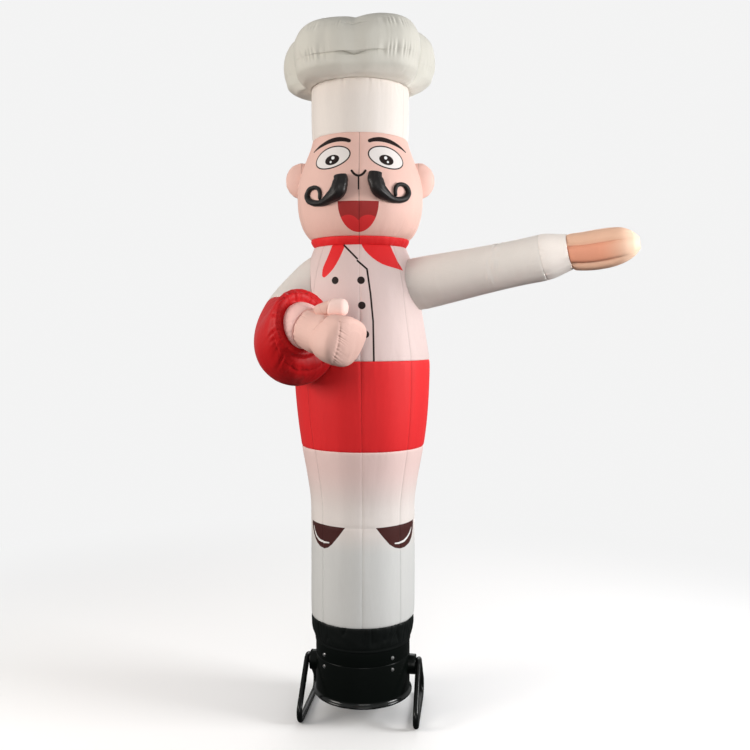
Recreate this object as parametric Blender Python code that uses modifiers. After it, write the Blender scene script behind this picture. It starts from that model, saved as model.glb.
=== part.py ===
"""Inflatable air dancer: a chef figure of sewn cloth, full of air, tied on its blower and stand.

Metres, +Z up. The figure faces -Y and its straight arm points to +X. The pieces are placed round the
blower's axis, and at the end all of them move together, so that the origin is the middle of the floor
under the whole object. Each sewn or fitted piece is one object: the cloth pieces are filled solids,
each the shape that the air gives it.
"""

import math

import bmesh
import bpy
from mathutils import Matrix, Vector

GAP = 0.0003  # between two pieces that touch
SHARP_ANGLE = math.radians(40.0)  # where two faces meet more sharply, the edge stays sharp
ROUND_STEPS = 40  # sides of the figure's trunk
ARM_STEPS = 28  # sides of the arms and hands
THUMB_STEPS = 20
FRONT = Vector((0.0, -1.0, 0.0))
UP = Vector((0.0, 0.0, 1.0))

# Heights of the seams above the floor, from the black cloth's hem to the hat's crown.
CUFF_FOOT, BOOT_SEAM, WAIST_SEAM, CHEST_SEAM, NECK_SEAM = 0.345, 0.441, 1.189, 1.570, 2.063
CHIN_SEAM, BROW_SEAM, CROWN_SEAM = 2.099, 2.538, 2.770

# The trunk's outline: the radius of the cloth at each height.
TRUNK_OUTLINE = (  # height, radius
    (CUFF_FOOT, 0.2140),
    (0.372, 0.2215),
    (BOOT_SEAM, 0.2290),
    (0.640, 0.2305),
    (0.870, 0.2300),
    (0.960, 0.2325),
    (1.070, 0.2490),
    (1.200, 0.2735),
    (1.330, 0.2905),
    (1.480, 0.3010),
    (CHEST_SEAM, 0.3020),
    (1.660, 0.2900),
    (1.790, 0.2710),
    (1.900, 0.2560),
    (1.990, 0.2320),
    (NECK_SEAM, 0.2050),
)
HEAD_OUTLINE = (  # height, radius
    (CHIN_SEAM, 0.2205),
    (2.126, 0.2430),
    (2.166, 0.2620),
    (2.220, 0.2750),
    (2.280, 0.2790),
    (2.335, 0.2765),
    (2.395, 0.2620),
    (2.455, 0.2395),
    (2.505, 0.2205),
    (BROW_SEAM, 0.2125),
)
HAT_BAND_OUTLINE = (  # height, radius
    (BROW_SEAM, 0.2125),
    (2.580, 0.2155),
    (2.650, 0.2170),
    (CROWN_SEAM, 0.2170),
)
SCARF_EDGE = 0.008  # height of the scarf's upper edge, before it draws in to the neck
# Above the waist the trunk leans a little to one side.
LEAN, LEAN_FROM, LEAN_TO = -0.0120, 1.150, 2.080

# The hat's crown: five round lobes, with a valley at the front. No two are equally full.
LOBE_CENTRE, LOBE_RADIUS = 0.193, 0.158
LOBES = (  # further out, higher at the top; from the front's right round the back to its left
    (0.000, 0.010),
    (-0.003, -0.006),
    (0.000, 0.000),
    (0.009, 0.004),
    (0.003, 0.000),
)
CROWN_TURN = math.radians(-3.0)
CROWN_TILT = Vector((0.037, 0.030))  # rise for each metre to the side and to the back: it sags to its left
CROWN_SHIFT = -0.004  # to the side, as far as it sags
CROWN_STEPS = 60
CROWN_FOOT = 0.2185  # just outside the hat band
CROWN_WIDEST = 2.890
CROWN_OUTLINE = (  # height, share of the way from the foot to the lobe, share of the lobe's own radius
    (3.046, 0.0, 0.42),
    (3.034, 0.0, 0.68),
    (3.010, 0.0, 0.86),
    (2.977, 0.0, 0.945),
    (2.938, 0.0, 0.990),
    (CROWN_WIDEST, 0.0, 1.000),
    (2.842, 0.0, 0.970),
    (2.798, 0.84, 0.0),
    (2.764, 0.58, 0.0),
    (2.752, 0.30, 0.0),
    (2.756, 0.09, 0.0),
    (CROWN_SEAM + GAP, 0.0, 0.0),
)

# Ears: flattened pads at the sides of the head.
EAR_HEIGHT, EAR_OUT, EAR_HALF = 2.366, 0.260, Vector((0.073, 0.046, 0.081))

# Moustache: each half is one stuffed, curled piece. The rows run from the nose out to the curl's end.
MOUSTACHE = (  # across from the middle, height, half width
    (0.075, 2.335, 0.026),
    (0.072, 2.307, 0.032),
    (0.082, 2.279, 0.033),
    (0.103, 2.258, 0.027),
    (0.128, 2.242, 0.021),
    (0.152, 2.234, 0.017),
    (0.175, 2.231, 0.014),
    (0.202, 2.234, 0.012),
    (0.229, 2.247, 0.012),
    (0.245, 2.268, 0.012),
    (0.242, 2.290, 0.011),
    (0.224, 2.302, 0.010),
    (0.199, 2.302, 0.009),
    (0.178, 2.292, 0.009),
    (0.172, 2.274, 0.008),
)
MOUSTACHE_OFF = 0.5  # of the half width, from the face to its middle: the rest of its back is cut flat
MOUSTACHE_LIFT = {-1: 0.000, 1: 0.012}  # the right half is sewn on a little higher at the nose
MOUSTACHE_SHIFT = {-1: 0.000, 1: -0.013}  # and a little nearer to the middle

# Straight arm: a tapered sleeve, its cuff and a mitten hand.
SHOULDER = Vector((0.222, -0.050, 1.897))
SLEEVE_WAY = Vector((0.918, -0.366, 0.177)).normalized()
SLEEVE_LENGTH, WRIST_LENGTH = 0.597, 0.706  # from the shoulder
SLEEVE_OUTLINE = (  # along the arm from the shoulder, radius
    (-0.100, 0.1160),
    (0.050, 0.1150),
    (0.222, 0.1070),
    (0.395, 0.0995),
    (0.500, 0.0965),
    (SLEEVE_LENGTH, 0.0975),
)
CUFF_OUTLINE = (  # along the arm from the shoulder, radius
    (SLEEVE_LENGTH, 0.0975),
    (0.630, 0.0935),
    (0.670, 0.0830),
    (WRIST_LENGTH, 0.0745),
)
MITTEN_WAY = Vector((0.918, -0.366, 0.098)).normalized()
MITTEN_FACE = math.radians(-8.0)  # the middle finger's place round the hand
MITTEN_GROOVE, MITTEN_GROOVE_WIDTH, MITTEN_GROOVE_DEPTH = math.radians(25.0), math.radians(9.0), 0.13
MITTEN = (  # along the hand, drop, half height, half depth, share of the grooves' depth
    (0.000, 0.000, 0.0735, 0.066, 0.3),
    (0.020, 0.002, 0.0770, 0.068, 1.0),
    (0.060, 0.005, 0.0800, 0.069, 1.0),
    (0.110, 0.005, 0.0820, 0.068, 1.0),
    (0.165, 0.003, 0.0800, 0.064, 0.9),
    (0.215, 0.000, 0.0700, 0.057, 0.4),
    (0.253, 0.000, 0.0490, 0.042, 0.1),
    (0.276, 0.000, 0.0240, 0.021, 0.0),
)

# Bent arm: the white upper arm, then the fat red forearm that turns to the front and ends in a cap.
# Turn is how far a section faces from the front towards +X, and dip how far it faces down.
UPPER_ARM = (  # x, y, z, turn, dip, radius
    (-0.085, 0.010, 1.965, -90.0, 40.0, 0.127),
    (-0.165, 0.000, 1.905, -88.0, 44.0, 0.133),
    (-0.225, -0.025, 1.840, -70.0, 48.0, 0.136),
    (-0.287, -0.076, 1.780, -33.0, 60.0, 0.130),
)
FOREARM = (  # x, y, z, turn, dip, radius
    (-0.287, -0.076, 1.780, -33.0, 60.0, 0.130),
    (-0.292, -0.138, 1.722, -10.0, 46.0, 0.147),
    (-0.285, -0.205, 1.675, 3.0, 32.0, 0.161),
    (-0.270, -0.275, 1.645, 14.0, 16.0, 0.170),
    (-0.257, -0.338, 1.642, 25.0, 2.0, 0.171),
    (-0.238, -0.381, 1.672, 35.0, -6.0, 0.167),
    (-0.225, -0.408, 1.708, 42.0, -7.0, 0.158),
    (-0.232, -0.438, 1.723, 44.0, -5.0, 0.124),
)
LIMB_FACING = Vector((-0.6, -0.8, 0.0))  # never along the limb, so its sections don't twist
FIST_TURN, FIST_DIP = 47.0, 20.0
FIST_CUFF = (  # along the fist, radius
    (0.000, 0.0880),
    (0.012, 0.0915),
    (0.032, 0.0905),
    (0.048, 0.0860),
)
FIST = (  # along, rise, half height, half depth, squareness
    (0.048, 0.002, 0.0820, 0.079, 2.0),
    (0.078, 0.001, 0.0810, 0.081, 2.0),
    (0.105, 0.002, 0.0825, 0.082, 2.0),
    (0.125, 0.005, 0.0835, 0.083, 2.1),
    (0.150, 0.009, 0.0860, 0.087, 2.2),
    (0.180, 0.010, 0.0930, 0.096, 2.3),
    (0.210, 0.012, 0.0975, 0.102, 2.4),
    (0.238, 0.017, 0.0985, 0.102, 2.6),
    (0.263, 0.022, 0.0950, 0.094, 2.7),
    (0.281, 0.027, 0.0770, 0.073, 2.5),
    (0.290, 0.029, 0.0460, 0.042, 2.2),
)
THUMB_START = Vector((-0.150, -0.520, 1.784))
THUMB_TURN, THUMB_DIP, THUMB_SQUARENESS = 72.0, -2.0, 2.4
THUMB = (  # along, half height, half depth
    (-0.022, 0.0190, 0.0200),
    (-0.008, 0.0310, 0.0340),
    (0.025, 0.0355, 0.0400),
    (0.068, 0.0355, 0.0400),
    (0.102, 0.0320, 0.0350),
    (0.118, 0.0190, 0.0200),
)

# Blower: a drum of two rings, bolted together, that hangs between two bent-tube side frames.
BLOWER_TURN = math.radians(-7.0)
DRUM_RADIUS, DRUM_BOTTOM, DRUM_SPLIT, DRUM_TOP = 0.209, 0.095, 0.270, 0.372
DRUM_EDGE = 0.002  # of the two rings' rounded edges
DRUM_RIM, DRUM_RIM_HALF, DRUM_RIM_RISE = 0.219, 0.007, 0.022  # the bead round the drum's foot
DRUM_WALL, DRUM_RECESS = 0.006, 0.014  # at the underside
HEM_HEIGHT, HEM_THICKNESS, HEM_EASE = 0.332, 0.0025, 0.0005
BOLT_RADIUS, BOLT_HEAD, BOLT_FROM_SPLIT = 0.008, 0.005, 0.025
BOLT_ANGLES = (-45.0, 45.0, 135.0, 225.0)
HUB_RADIUS, HUB_HEIGHT, HUB_STEPS = 0.043, 0.215, 24
TUBE_RADIUS, TUBE_SIDES = 0.0125, 12
TUBE_FLAT = TUBE_RADIUS * math.cos(math.pi / TUBE_SIDES)  # from the tube's middle to one of its flats
FRAME_HALF_WIDTH, FRAME_HALF_LENGTH = 0.250, 0.245
FRAME_TOP, FRAME_TOP_BEND, FRAME_FOOT_BEND = 0.248, 0.045, 0.040

COLOURS = {  # red, green, blue, roughness, metallic
    "white_cloth": (0.76, 0.70, 0.65, 0.62, 0.0),
    "hat_cloth": (0.68, 0.65, 0.58, 0.62, 0.0),
    "red_cloth": (0.62, 0.03, 0.04, 0.58, 0.0),
    "skin_cloth": (0.78, 0.55, 0.46, 0.62, 0.0),
    "salmon_cloth": (0.77, 0.36, 0.23, 0.55, 0.0),
    "black_cloth": (0.012, 0.011, 0.010, 0.50, 0.0),
    "black_plastic": (0.006, 0.009, 0.008, 0.22, 0.0),
    "black_paint": (0.008, 0.010, 0.009, 0.25, 0.0),
    "bolt_steel": (0.70, 0.70, 0.70, 0.30, 1.0),
}


def clear_scene():
    for thing in list(bpy.data.objects):
        bpy.data.objects.remove(thing)


def make_materials():
    for name, (red, green, blue, roughness, metallic) in COLOURS.items():
        made = bpy.data.materials.new(name)
        made.use_nodes = True
        shader = made.node_tree.nodes["Principled BSDF"]
        shader.inputs["Base Color"].default_value = (red, green, blue, 1.0)
        shader.inputs["Roughness"].default_value = roughness
        shader.inputs["Metallic"].default_value = metallic


def add(name, data, material, collection, parent=None):
    """One object in the collection; a curve or a mesh alike."""
    piece = bpy.data.objects.new(name, data)
    piece.data.materials.append(bpy.data.materials[material])
    collection.objects.link(piece)
    piece.parent = parent
    return piece


def smooth_through(rows, at):
    """Each column of the rows at one value of the first, on a smooth curve through them."""
    last = len(rows) - 2
    i = max(k for k in range(last + 1) if k == 0 or rows[k][0] <= at)

    def slope(k, column):
        low, high = max(k - 1, 0), min(k + 1, last + 1)
        return (rows[high][column] - rows[low][column]) / (rows[high][0] - rows[low][0])

    span = rows[i + 1][0] - rows[i][0]
    t = (at - rows[i][0]) / span
    found = []
    for column in range(1, len(rows[0])):
        a, b = rows[i][column], rows[i + 1][column]
        da, db = slope(i, column) * span, slope(i + 1, column) * span
        found.append(
            a + t * da + t * t * (3 * (b - a) - 2 * da - db) + t**3 * (2 * (a - b) + da + db)
        )
    return found


def spread(first, last, count):
    return [first + (last - first) * k / (count - 1) for k in range(count)]


def outline_between(rows, low, high, count):
    """Radius and height from the top to the bottom of one piece, 0.15 mm short at each end."""
    heights = spread(high, low, count)
    radii = [smooth_through(rows, height)[0] for height in heights]
    heights[0] -= GAP / 2
    heights[-1] += GAP / 2
    return list(zip(radii, heights))


def turned(name, outline, material, collection, steps=ROUND_STEPS, parent=None):
    """A filled piece turned round its own Z axis. The outline runs from the top to the bottom."""
    points = [(0.0, 0.0, outline[0][1])]
    points += [(radius, 0.0, height) for radius, height in outline]
    points += [(0.0, 0.0, outline[-1][1])]
    mesh = bpy.data.meshes.new(name)
    mesh.from_pydata(points, [(k, k + 1) for k in range(len(points) - 1)], [])
    piece = add(name, mesh, material, collection, parent)
    screw = piece.modifiers.new("turn", "SCREW")
    screw.steps = steps
    screw.render_steps = steps
    screw.use_merge_vertices = True
    screw.merge_threshold = 0.0001
    return piece


def way_to(turn, dip):
    """The direction this far round from the front towards +X and this far down, in degrees."""
    turn, dip = math.radians(turn), math.radians(dip)
    return Vector((math.sin(turn) * math.cos(dip), -math.cos(turn) * math.cos(dip), -math.sin(dip)))


def round_section(centre, way, half_height, half_depth, steps, facing=FRONT, squareness=2.0, dents=None):
    """The points of one section, square to the way that the limb runs. Angle 0 faces the front."""
    front = (facing - way * facing.dot(way)).normalized()
    up = front.cross(way).normalized()
    points = []
    for step in range(steps):
        angle = math.tau * step / steps
        across, rise = math.cos(angle), math.sin(angle)
        size = (abs(across) ** squareness + abs(rise) ** squareness) ** (-1.0 / squareness)
        if dents:
            size *= 1.0 - dents(angle)
        points.append(centre + front * half_depth * size * across + up * half_height * size * rise)
    return points


def loft(name, sections, material, collection):
    """A filled piece through closed sections that have the same number of points."""
    steps = len(sections[0])
    shape = bmesh.new()
    rings = [[shape.verts.new(point) for point in section] for section in sections]
    for near, far in zip(rings, rings[1:]):
        for k in range(steps):
            shape.faces.new((near[k], near[(k + 1) % steps], far[(k + 1) % steps], far[k]))
    shape.faces.new(rings[0])
    shape.faces.new(rings[-1])
    bmesh.ops.recalc_face_normals(shape, faces=shape.faces)
    mesh = bpy.data.meshes.new(name)
    shape.to_mesh(mesh)
    shape.free()
    return add(name, mesh, material, collection)


def cut(piece, cutter):
    boolean = piece.modifiers.new("cut", "BOOLEAN")
    boolean.operation = "DIFFERENCE"
    boolean.object = cutter
    cutter.hide_render = True
    cutter.display_type = "WIRE"


def mesh_from_curve(piece):
    """The same object as a closed mesh, which a Boolean can cut."""
    bpy.context.view_layer.update()
    graph = bpy.context.evaluated_depsgraph_get()
    mesh = bpy.data.meshes.new_from_object(piece.evaluated_get(graph))
    shape = bmesh.new()
    shape.from_mesh(mesh)
    bmesh.ops.remove_doubles(shape, verts=shape.verts, dist=0.00001)
    shape.to_mesh(mesh)
    shape.free()
    name, material = piece.name, piece.data.materials[0].name
    place, collection = piece.matrix_world.copy(), piece.users_collection[0]
    bpy.data.objects.remove(piece)
    mesh.materials.clear()
    solid = add(name, mesh, material, collection)
    solid.matrix_world = place
    return solid


def limb_sections(rows, first_gap, last_gap, count):
    """Round sections along a bent limb, from a table of centres, ways and radii."""
    numbered = [(k, *row) for k, row in enumerate(rows)]
    sections = []
    for at in spread(0.0, len(rows) - 1.0, count):
        x, y, z, turn, dip, radius = smooth_through(numbered, at)
        way = way_to(turn, dip)
        centre = Vector((x, y, z))
        if at == 0.0:
            centre += way * first_gap
        if at == len(rows) - 1.0:
            centre -= way * last_gap
        sections.append(round_section(centre, way, radius, radius, ARM_STEPS, LIMB_FACING))
    return sections


def pointing(place, way):
    """The matrix that stands an object's Z axis along the way, at the place."""
    return Matrix.Translation(place) @ way.to_track_quat("Z", "Y").to_matrix().to_4x4()


def make_trunk(parts, cutters):
    pieces = (  # name, material, bottom, top, rows of the outline, sections
        ("trousers", "white_cloth", BOOT_SEAM, WAIST_SEAM, TRUNK_OUTLINE, 9),
        ("waist_sash", "red_cloth", WAIST_SEAM, CHEST_SEAM, TRUNK_OUTLINE, 5),
        ("jacket", "white_cloth", CHEST_SEAM, NECK_SEAM, TRUNK_OUTLINE, 8),
        ("head", "skin_cloth", CHIN_SEAM, BROW_SEAM, HEAD_OUTLINE, 12),
        ("hat_band", "hat_cloth", BROW_SEAM, CROWN_SEAM, HAT_BAND_OUTLINE, 5),
    )
    for name, material, low, high, rows, count in pieces:
        turned(name, outline_between(rows, low, high, count), material, parts)
    neck, chin = smooth_through(TRUNK_OUTLINE, NECK_SEAM)[0], smooth_through(HEAD_OUTLINE, CHIN_SEAM)[0]
    scarf = [
        (chin, CHIN_SEAM - GAP / 2),
        (chin, CHIN_SEAM - SCARF_EDGE),
        (0.6 * chin + 0.4 * neck, 0.5 * (CHIN_SEAM + NECK_SEAM)),
        (neck, NECK_SEAM + GAP / 2),
    ]
    turned("neck_scarf", scarf, "red_cloth", parts)
    # What lies on the trunk or the head is cut by the same shape, grown by the gap.
    for name, material, low, high, rows, count in pieces[1:4]:
        grown = [(radius + GAP, height) for radius, height in outline_between(rows, low, high, count)]
        grown[0], grown[-1] = (grown[0][0], high + GAP), (grown[-1][0], low - GAP)
        turned(f"{name}_cutter", grown, material, cutters)


def lobe_at(angle):
    """How far the crown reaches at this angle from the front, and how much higher its top is there."""
    pitch = math.tau / len(LOBES)
    lobe, off = divmod((angle - CROWN_TURN) % math.tau, pitch)
    off -= pitch / 2
    out, higher = LOBES[int(lobe)]
    puff = math.cos(math.pi * off / pitch) ** 2
    circle = LOBE_CENTRE * math.cos(off) + math.sqrt(LOBE_RADIUS**2 - (LOBE_CENTRE * math.sin(off)) ** 2)
    return circle + out * puff, higher * puff


def make_crown(parts):
    rings = []
    for height, from_foot, share in CROWN_OUTLINE:
        ring = []
        free = 1.0 if share else min(from_foot / CROWN_OUTLINE[-3][1], 1.0)  # how far it's off its seam
        top = max(height - CROWN_WIDEST, 0.0) / (CROWN_OUTLINE[0][0] - CROWN_WIDEST)
        for step in range(CROWN_STEPS):
            angle = math.tau * step / CROWN_STEPS
            reach, higher = lobe_at(angle)
            radius = share * reach if share else CROWN_FOOT + from_foot * (reach - CROWN_FOOT)
            place = Vector((radius * math.sin(angle), -radius * math.cos(angle)))
            rise = free * CROWN_TILT.dot(place) + top * higher
            ring.append(Vector((place.x + free * CROWN_SHIFT, place.y, height + rise)))
        rings.append(ring)
    loft("hat_crown", rings, "hat_cloth", parts)


def make_ears(parts, cutters):
    for side, name in ((-1, "ear_left"), (1, "ear_right")):
        mesh = bpy.data.meshes.new(name)
        shape = bmesh.new()
        bmesh.ops.create_uvsphere(shape, u_segments=16, v_segments=10, radius=1.0)
        bmesh.ops.scale(shape, vec=EAR_HALF, verts=shape.verts)
        shape.to_mesh(mesh)
        shape.free()
        ear = add(name, mesh, "skin_cloth", parts)
        ear.location = (side * EAR_OUT, 0.0, EAR_HEIGHT)
        cut(ear, cutters.objects["head_cutter"])


def on_the_face(across, height, out):
    """The point this far across the face along its curve, and this far off its surface."""
    radius = smooth_through(HEAD_OUTLINE, height)[0]
    angle = across / radius
    return Vector(((radius + out) * math.sin(angle), -(radius + out) * math.cos(angle), height))


def make_moustache(parts, cutters):
    numbered = [(k, *row) for k, row in enumerate(MOUSTACHE)]
    for side, name in ((-1, "moustache_left"), (1, "moustache_right")):
        curve = bpy.data.curves.new(name, "CURVE")
        curve.dimensions = "3D"
        curve.bevel_depth = 1.0
        curve.bevel_resolution = 3
        curve.use_fill_caps = True
        line = curve.splines.new("POLY")
        last = len(MOUSTACHE) - 1.0
        stations = spread(0.0, last, 31)
        line.points.add(len(stations) - 1)
        for point, at in zip(line.points, stations):
            across, height, half_width = smooth_through(numbered, at)
            height += MOUSTACHE_LIFT[side] * (1.0 - at / last)
            place = on_the_face(across + MOUSTACHE_SHIFT[side], height, half_width * MOUSTACHE_OFF)
            point.co = (side * place.x, place.y, place.z, 1.0)
            point.radius = half_width * min(1.0, 0.55 + at, 0.55 + last - at)
        cut(mesh_from_curve(add(name, curve, "black_cloth", parts)), cutters.objects["head_cutter"])


def make_straight_arm(parts, cutters):
    place = pointing(SHOULDER, SLEEVE_WAY)
    pieces = (  # name, rows, start, end, sections
        ("straight_sleeve", SLEEVE_OUTLINE, SLEEVE_OUTLINE[0][0], SLEEVE_LENGTH, 8),
        ("straight_cuff", CUFF_OUTLINE, SLEEVE_LENGTH, WRIST_LENGTH, 5),
    )
    for name, rows, start, end, count in pieces:
        outline = outline_between(rows, start, end, count)
        turned(name, outline, "white_cloth", parts, ARM_STEPS).matrix_world = place
    cut(parts.objects["straight_sleeve"], cutters.objects["jacket_cutter"])

    def grooves(angle, share):
        depth = 0.0
        for groove in (-MITTEN_GROOVE, MITTEN_GROOVE, math.pi - MITTEN_GROOVE, math.pi + MITTEN_GROOVE):
            off = (angle - MITTEN_FACE - groove + math.pi) % math.tau - math.pi
            depth += math.exp(-((off / MITTEN_GROOVE_WIDTH) ** 2))
        return share * MITTEN_GROOVE_DEPTH * depth

    wrist = SHOULDER + SLEEVE_WAY * (WRIST_LENGTH + GAP)
    sections = []
    for at in spread(MITTEN[0][0], MITTEN[-1][0], 14):
        drop, half_height, half_depth, share = smooth_through(MITTEN, at)
        way = SLEEVE_WAY if at == MITTEN[0][0] else MITTEN_WAY
        centre = wrist + MITTEN_WAY * at - UP * drop
        sections.append(
            round_section(
                centre, way, half_height, half_depth, ROUND_STEPS,
                dents=lambda angle, share=share: grooves(angle, share),
            )
        )
    loft("straight_hand", sections, "salmon_cloth", parts)


def make_bent_arm(parts, cutters):
    upper = loft("bent_sleeve", limb_sections(UPPER_ARM, 0.0, GAP / 2, 7), "white_cloth", parts)
    cut(upper, cutters.objects["jacket_cutter"])
    forearm = loft("bent_forearm", limb_sections(FOREARM, GAP / 2, 0.0, 14), "red_cloth", parts)
    cut(forearm, cutters.objects["jacket_cutter"])
    cut(forearm, cutters.objects["waist_sash_cutter"])
    *end, turn, dip, _ = FOREARM[-1]
    cap_way, fist_way = way_to(turn, dip), way_to(FIST_TURN, FIST_DIP)
    wrist = Vector(end) + cap_way * GAP
    fist_up = (UP - fist_way * fist_way.z).normalized()

    def fist_section(along, rise, half_height, half_depth, squareness=2.0):
        way = cap_way.lerp(fist_way, min(along / FIST_CUFF[-1][0], 1.0)).normalized()
        centre = wrist + fist_way * along + fist_up * rise
        return round_section(centre, way, half_height, half_depth, ARM_STEPS, squareness=squareness)

    cuff = [fist_section(along, 0.0, radius, radius) for along, radius in FIST_CUFF[:-1]]
    along, radius = FIST_CUFF[-1]
    cuff.append(fist_section(along - GAP, 0.0, radius, radius))
    loft("bent_cuff", cuff, "white_cloth", parts)
    for name, grown, collection in (("fist", 0.0, parts), ("fist_cutter", GAP, cutters)):
        sections = []
        for at in spread(FIST[0][0], FIST[-1][0], 15):
            rise, half_height, half_depth, squareness = smooth_through(FIST, at)
            sections.append(fist_section(at, rise, half_height + grown, half_depth + grown, squareness))
        loft(name, sections, "skin_cloth", collection)
    thumb_way = way_to(THUMB_TURN, THUMB_DIP)
    thumb = []
    for at in spread(THUMB[0][0], THUMB[-1][0], 9):
        half_height, half_depth = smooth_through(THUMB, at)
        centre = THUMB_START + thumb_way * at
        thumb.append(
            round_section(
                centre, thumb_way, half_height, half_depth, THUMB_STEPS, squareness=THUMB_SQUARENESS
            )
        )
    cut(loft("thumb", thumb, "skin_cloth", parts), cutters.objects["fist_cutter"])


def make_boot_cuff(parts):
    """The black cloth under the trousers: drawn in over the drum's top and tied round it."""
    outline = outline_between(TRUNK_OUTLINE, CUFF_FOOT, BOOT_SEAM, 6)
    inner = DRUM_RADIUS + HEM_EASE
    outline[-1] = (inner + HEM_THICKNESS + HEM_EASE, CUFF_FOOT)
    outline += [
        (inner + HEM_THICKNESS, HEM_HEIGHT),
        (inner, HEM_HEIGHT),
        (inner, DRUM_TOP + GAP),
    ]
    turned("boot_cuff", outline, "black_cloth", parts)


def make_drum(parts, blower):
    bead = [
        (
            DRUM_RIM - DRUM_RIM_HALF + DRUM_RIM_HALF * math.cos(math.radians(angle)),
            DRUM_BOTTOM + DRUM_RIM_HALF + DRUM_RIM_HALF * math.sin(math.radians(angle)),
        )
        for angle in (60, 20, -20, -60, -90)
    ]
    lower = [
        (DRUM_RADIUS - DRUM_EDGE, DRUM_SPLIT - GAP / 2),
        (DRUM_RADIUS, DRUM_SPLIT - DRUM_EDGE),
        (DRUM_RADIUS, DRUM_BOTTOM + DRUM_RIM_RISE),
        *bead,
        (DRUM_RADIUS - DRUM_WALL, DRUM_BOTTOM),
        (DRUM_RADIUS - DRUM_WALL - DRUM_EDGE, DRUM_BOTTOM + DRUM_RECESS),
    ]
    turned("drum_lower", lower, "black_plastic", parts, parent=blower)
    upper = [
        (DRUM_RADIUS - DRUM_EDGE, DRUM_TOP),
        (DRUM_RADIUS, DRUM_TOP - DRUM_EDGE),
        (DRUM_RADIUS, DRUM_SPLIT + DRUM_EDGE),
        (DRUM_RADIUS - DRUM_EDGE, DRUM_SPLIT + GAP / 2),
    ]
    turned("drum_upper", upper, "black_plastic", parts, parent=blower)


def make_bolts(parts, blower):
    mesh = bpy.data.meshes.new("bolt_head")
    shape = bmesh.new()
    bmesh.ops.create_cone(
        shape, cap_ends=True, segments=12, radius1=BOLT_RADIUS, radius2=0.6 * BOLT_RADIUS, depth=BOLT_HEAD
    )
    shape.to_mesh(mesh)
    shape.free()
    mesh.materials.append(bpy.data.materials["bolt_steel"])
    for number, degrees in enumerate(BOLT_ANGLES):
        for level, side in (("low", -1), ("high", 1)):
            angle = math.radians(degrees)
            way = Vector((math.sin(angle), -math.cos(angle), 0.0))
            head = bpy.data.objects.new(f"bolt_{level}_{number + 1}", mesh)
            parts.objects.link(head)
            head.parent = blower
            out = way * (DRUM_RADIUS + GAP + BOLT_HEAD / 2)
            rise = Vector((0.0, 0.0, DRUM_SPLIT + side * BOLT_FROM_SPLIT))
            head.matrix_local = pointing(out + rise, way)


def rounded_corner(before, corner, after, bend, count=5):
    """Points of the arc that rounds a corner between two straight runs."""
    back, on = (before - corner).normalized(), (after - corner).normalized()
    half = back.angle(on) / 2
    middle = corner + (back + on).normalized() * bend / math.sin(half)
    start = corner + back * bend / math.tan(half) - middle
    end = corner + on * bend / math.tan(half) - middle
    arc = start.angle(end)
    return [
        middle + (start * math.sin(arc - t) + end * math.sin(t)) / math.sin(arc)
        for t in spread(0.0, arc, count)
    ]


def make_side_frames(parts, blower):
    floor = TUBE_FLAT
    # The sharp corner that leaves the rounded top at its height.
    rise = math.atan2(FRAME_TOP - TUBE_RADIUS - floor, FRAME_HALF_LENGTH)
    peak = FRAME_TOP - TUBE_RADIUS + FRAME_TOP_BEND * (1 / math.cos(rise) - 1)
    for side, name in ((-1, "side_frame_left"), (1, "side_frame_right")):
        x = side * FRAME_HALF_WIDTH
        corners = [
            (Vector((x, -FRAME_HALF_LENGTH, floor)), FRAME_FOOT_BEND),
            (Vector((x, 0.0, peak)), FRAME_TOP_BEND),
            (Vector((x, FRAME_HALF_LENGTH, floor)), FRAME_FOOT_BEND),
        ]
        route = []
        for k, (corner, bend) in enumerate(corners):
            route += rounded_corner(corners[k - 1][0], corner, corners[(k + 1) % 3][0], bend)
        curve = bpy.data.curves.new(name, "CURVE")
        curve.dimensions = "3D"
        curve.bevel_depth = TUBE_RADIUS
        curve.bevel_resolution = TUBE_SIDES // 2 - 2
        line = curve.splines.new("POLY")
        line.use_cyclic_u = True
        line.points.add(len(route) - 1)
        for point, place in zip(line.points, route):
            point.co = (*place, 1.0)
            point.tilt = math.pi / TUBE_SIDES
        add(name, curve, "black_paint", parts, blower)


def make_hubs(parts, cutters, blower):
    """The round blocks that carry the drum between the side frames."""
    grown = [(DRUM_RADIUS + GAP, DRUM_SPLIT), (DRUM_RADIUS + GAP, DRUM_BOTTOM)]
    cutter = turned("drum_cutter", grown, "black_plastic", cutters, parent=blower)
    outer = FRAME_HALF_WIDTH - TUBE_FLAT - GAP
    inner = math.sqrt(DRUM_RADIUS**2 - HUB_RADIUS**2) - DRUM_EDGE  # where the round wall falls back
    for side, name in ((-1, "hub_left"), (1, "hub_right")):
        mesh = bpy.data.meshes.new(name)
        shape = bmesh.new()
        bmesh.ops.create_cone(
            shape, cap_ends=True, segments=HUB_STEPS, radius1=HUB_RADIUS, radius2=HUB_RADIUS,
            depth=outer - inner,
        )
        shape.to_mesh(mesh)
        shape.free()
        hub = add(name, mesh, "black_plastic", parts, blower)
        hub.matrix_local = pointing(
            Vector((side * (outer + inner) / 2, 0.0, HUB_HEIGHT)), Vector((side, 0.0, 0.0))
        )
        cut(hub, cutter)


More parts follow.
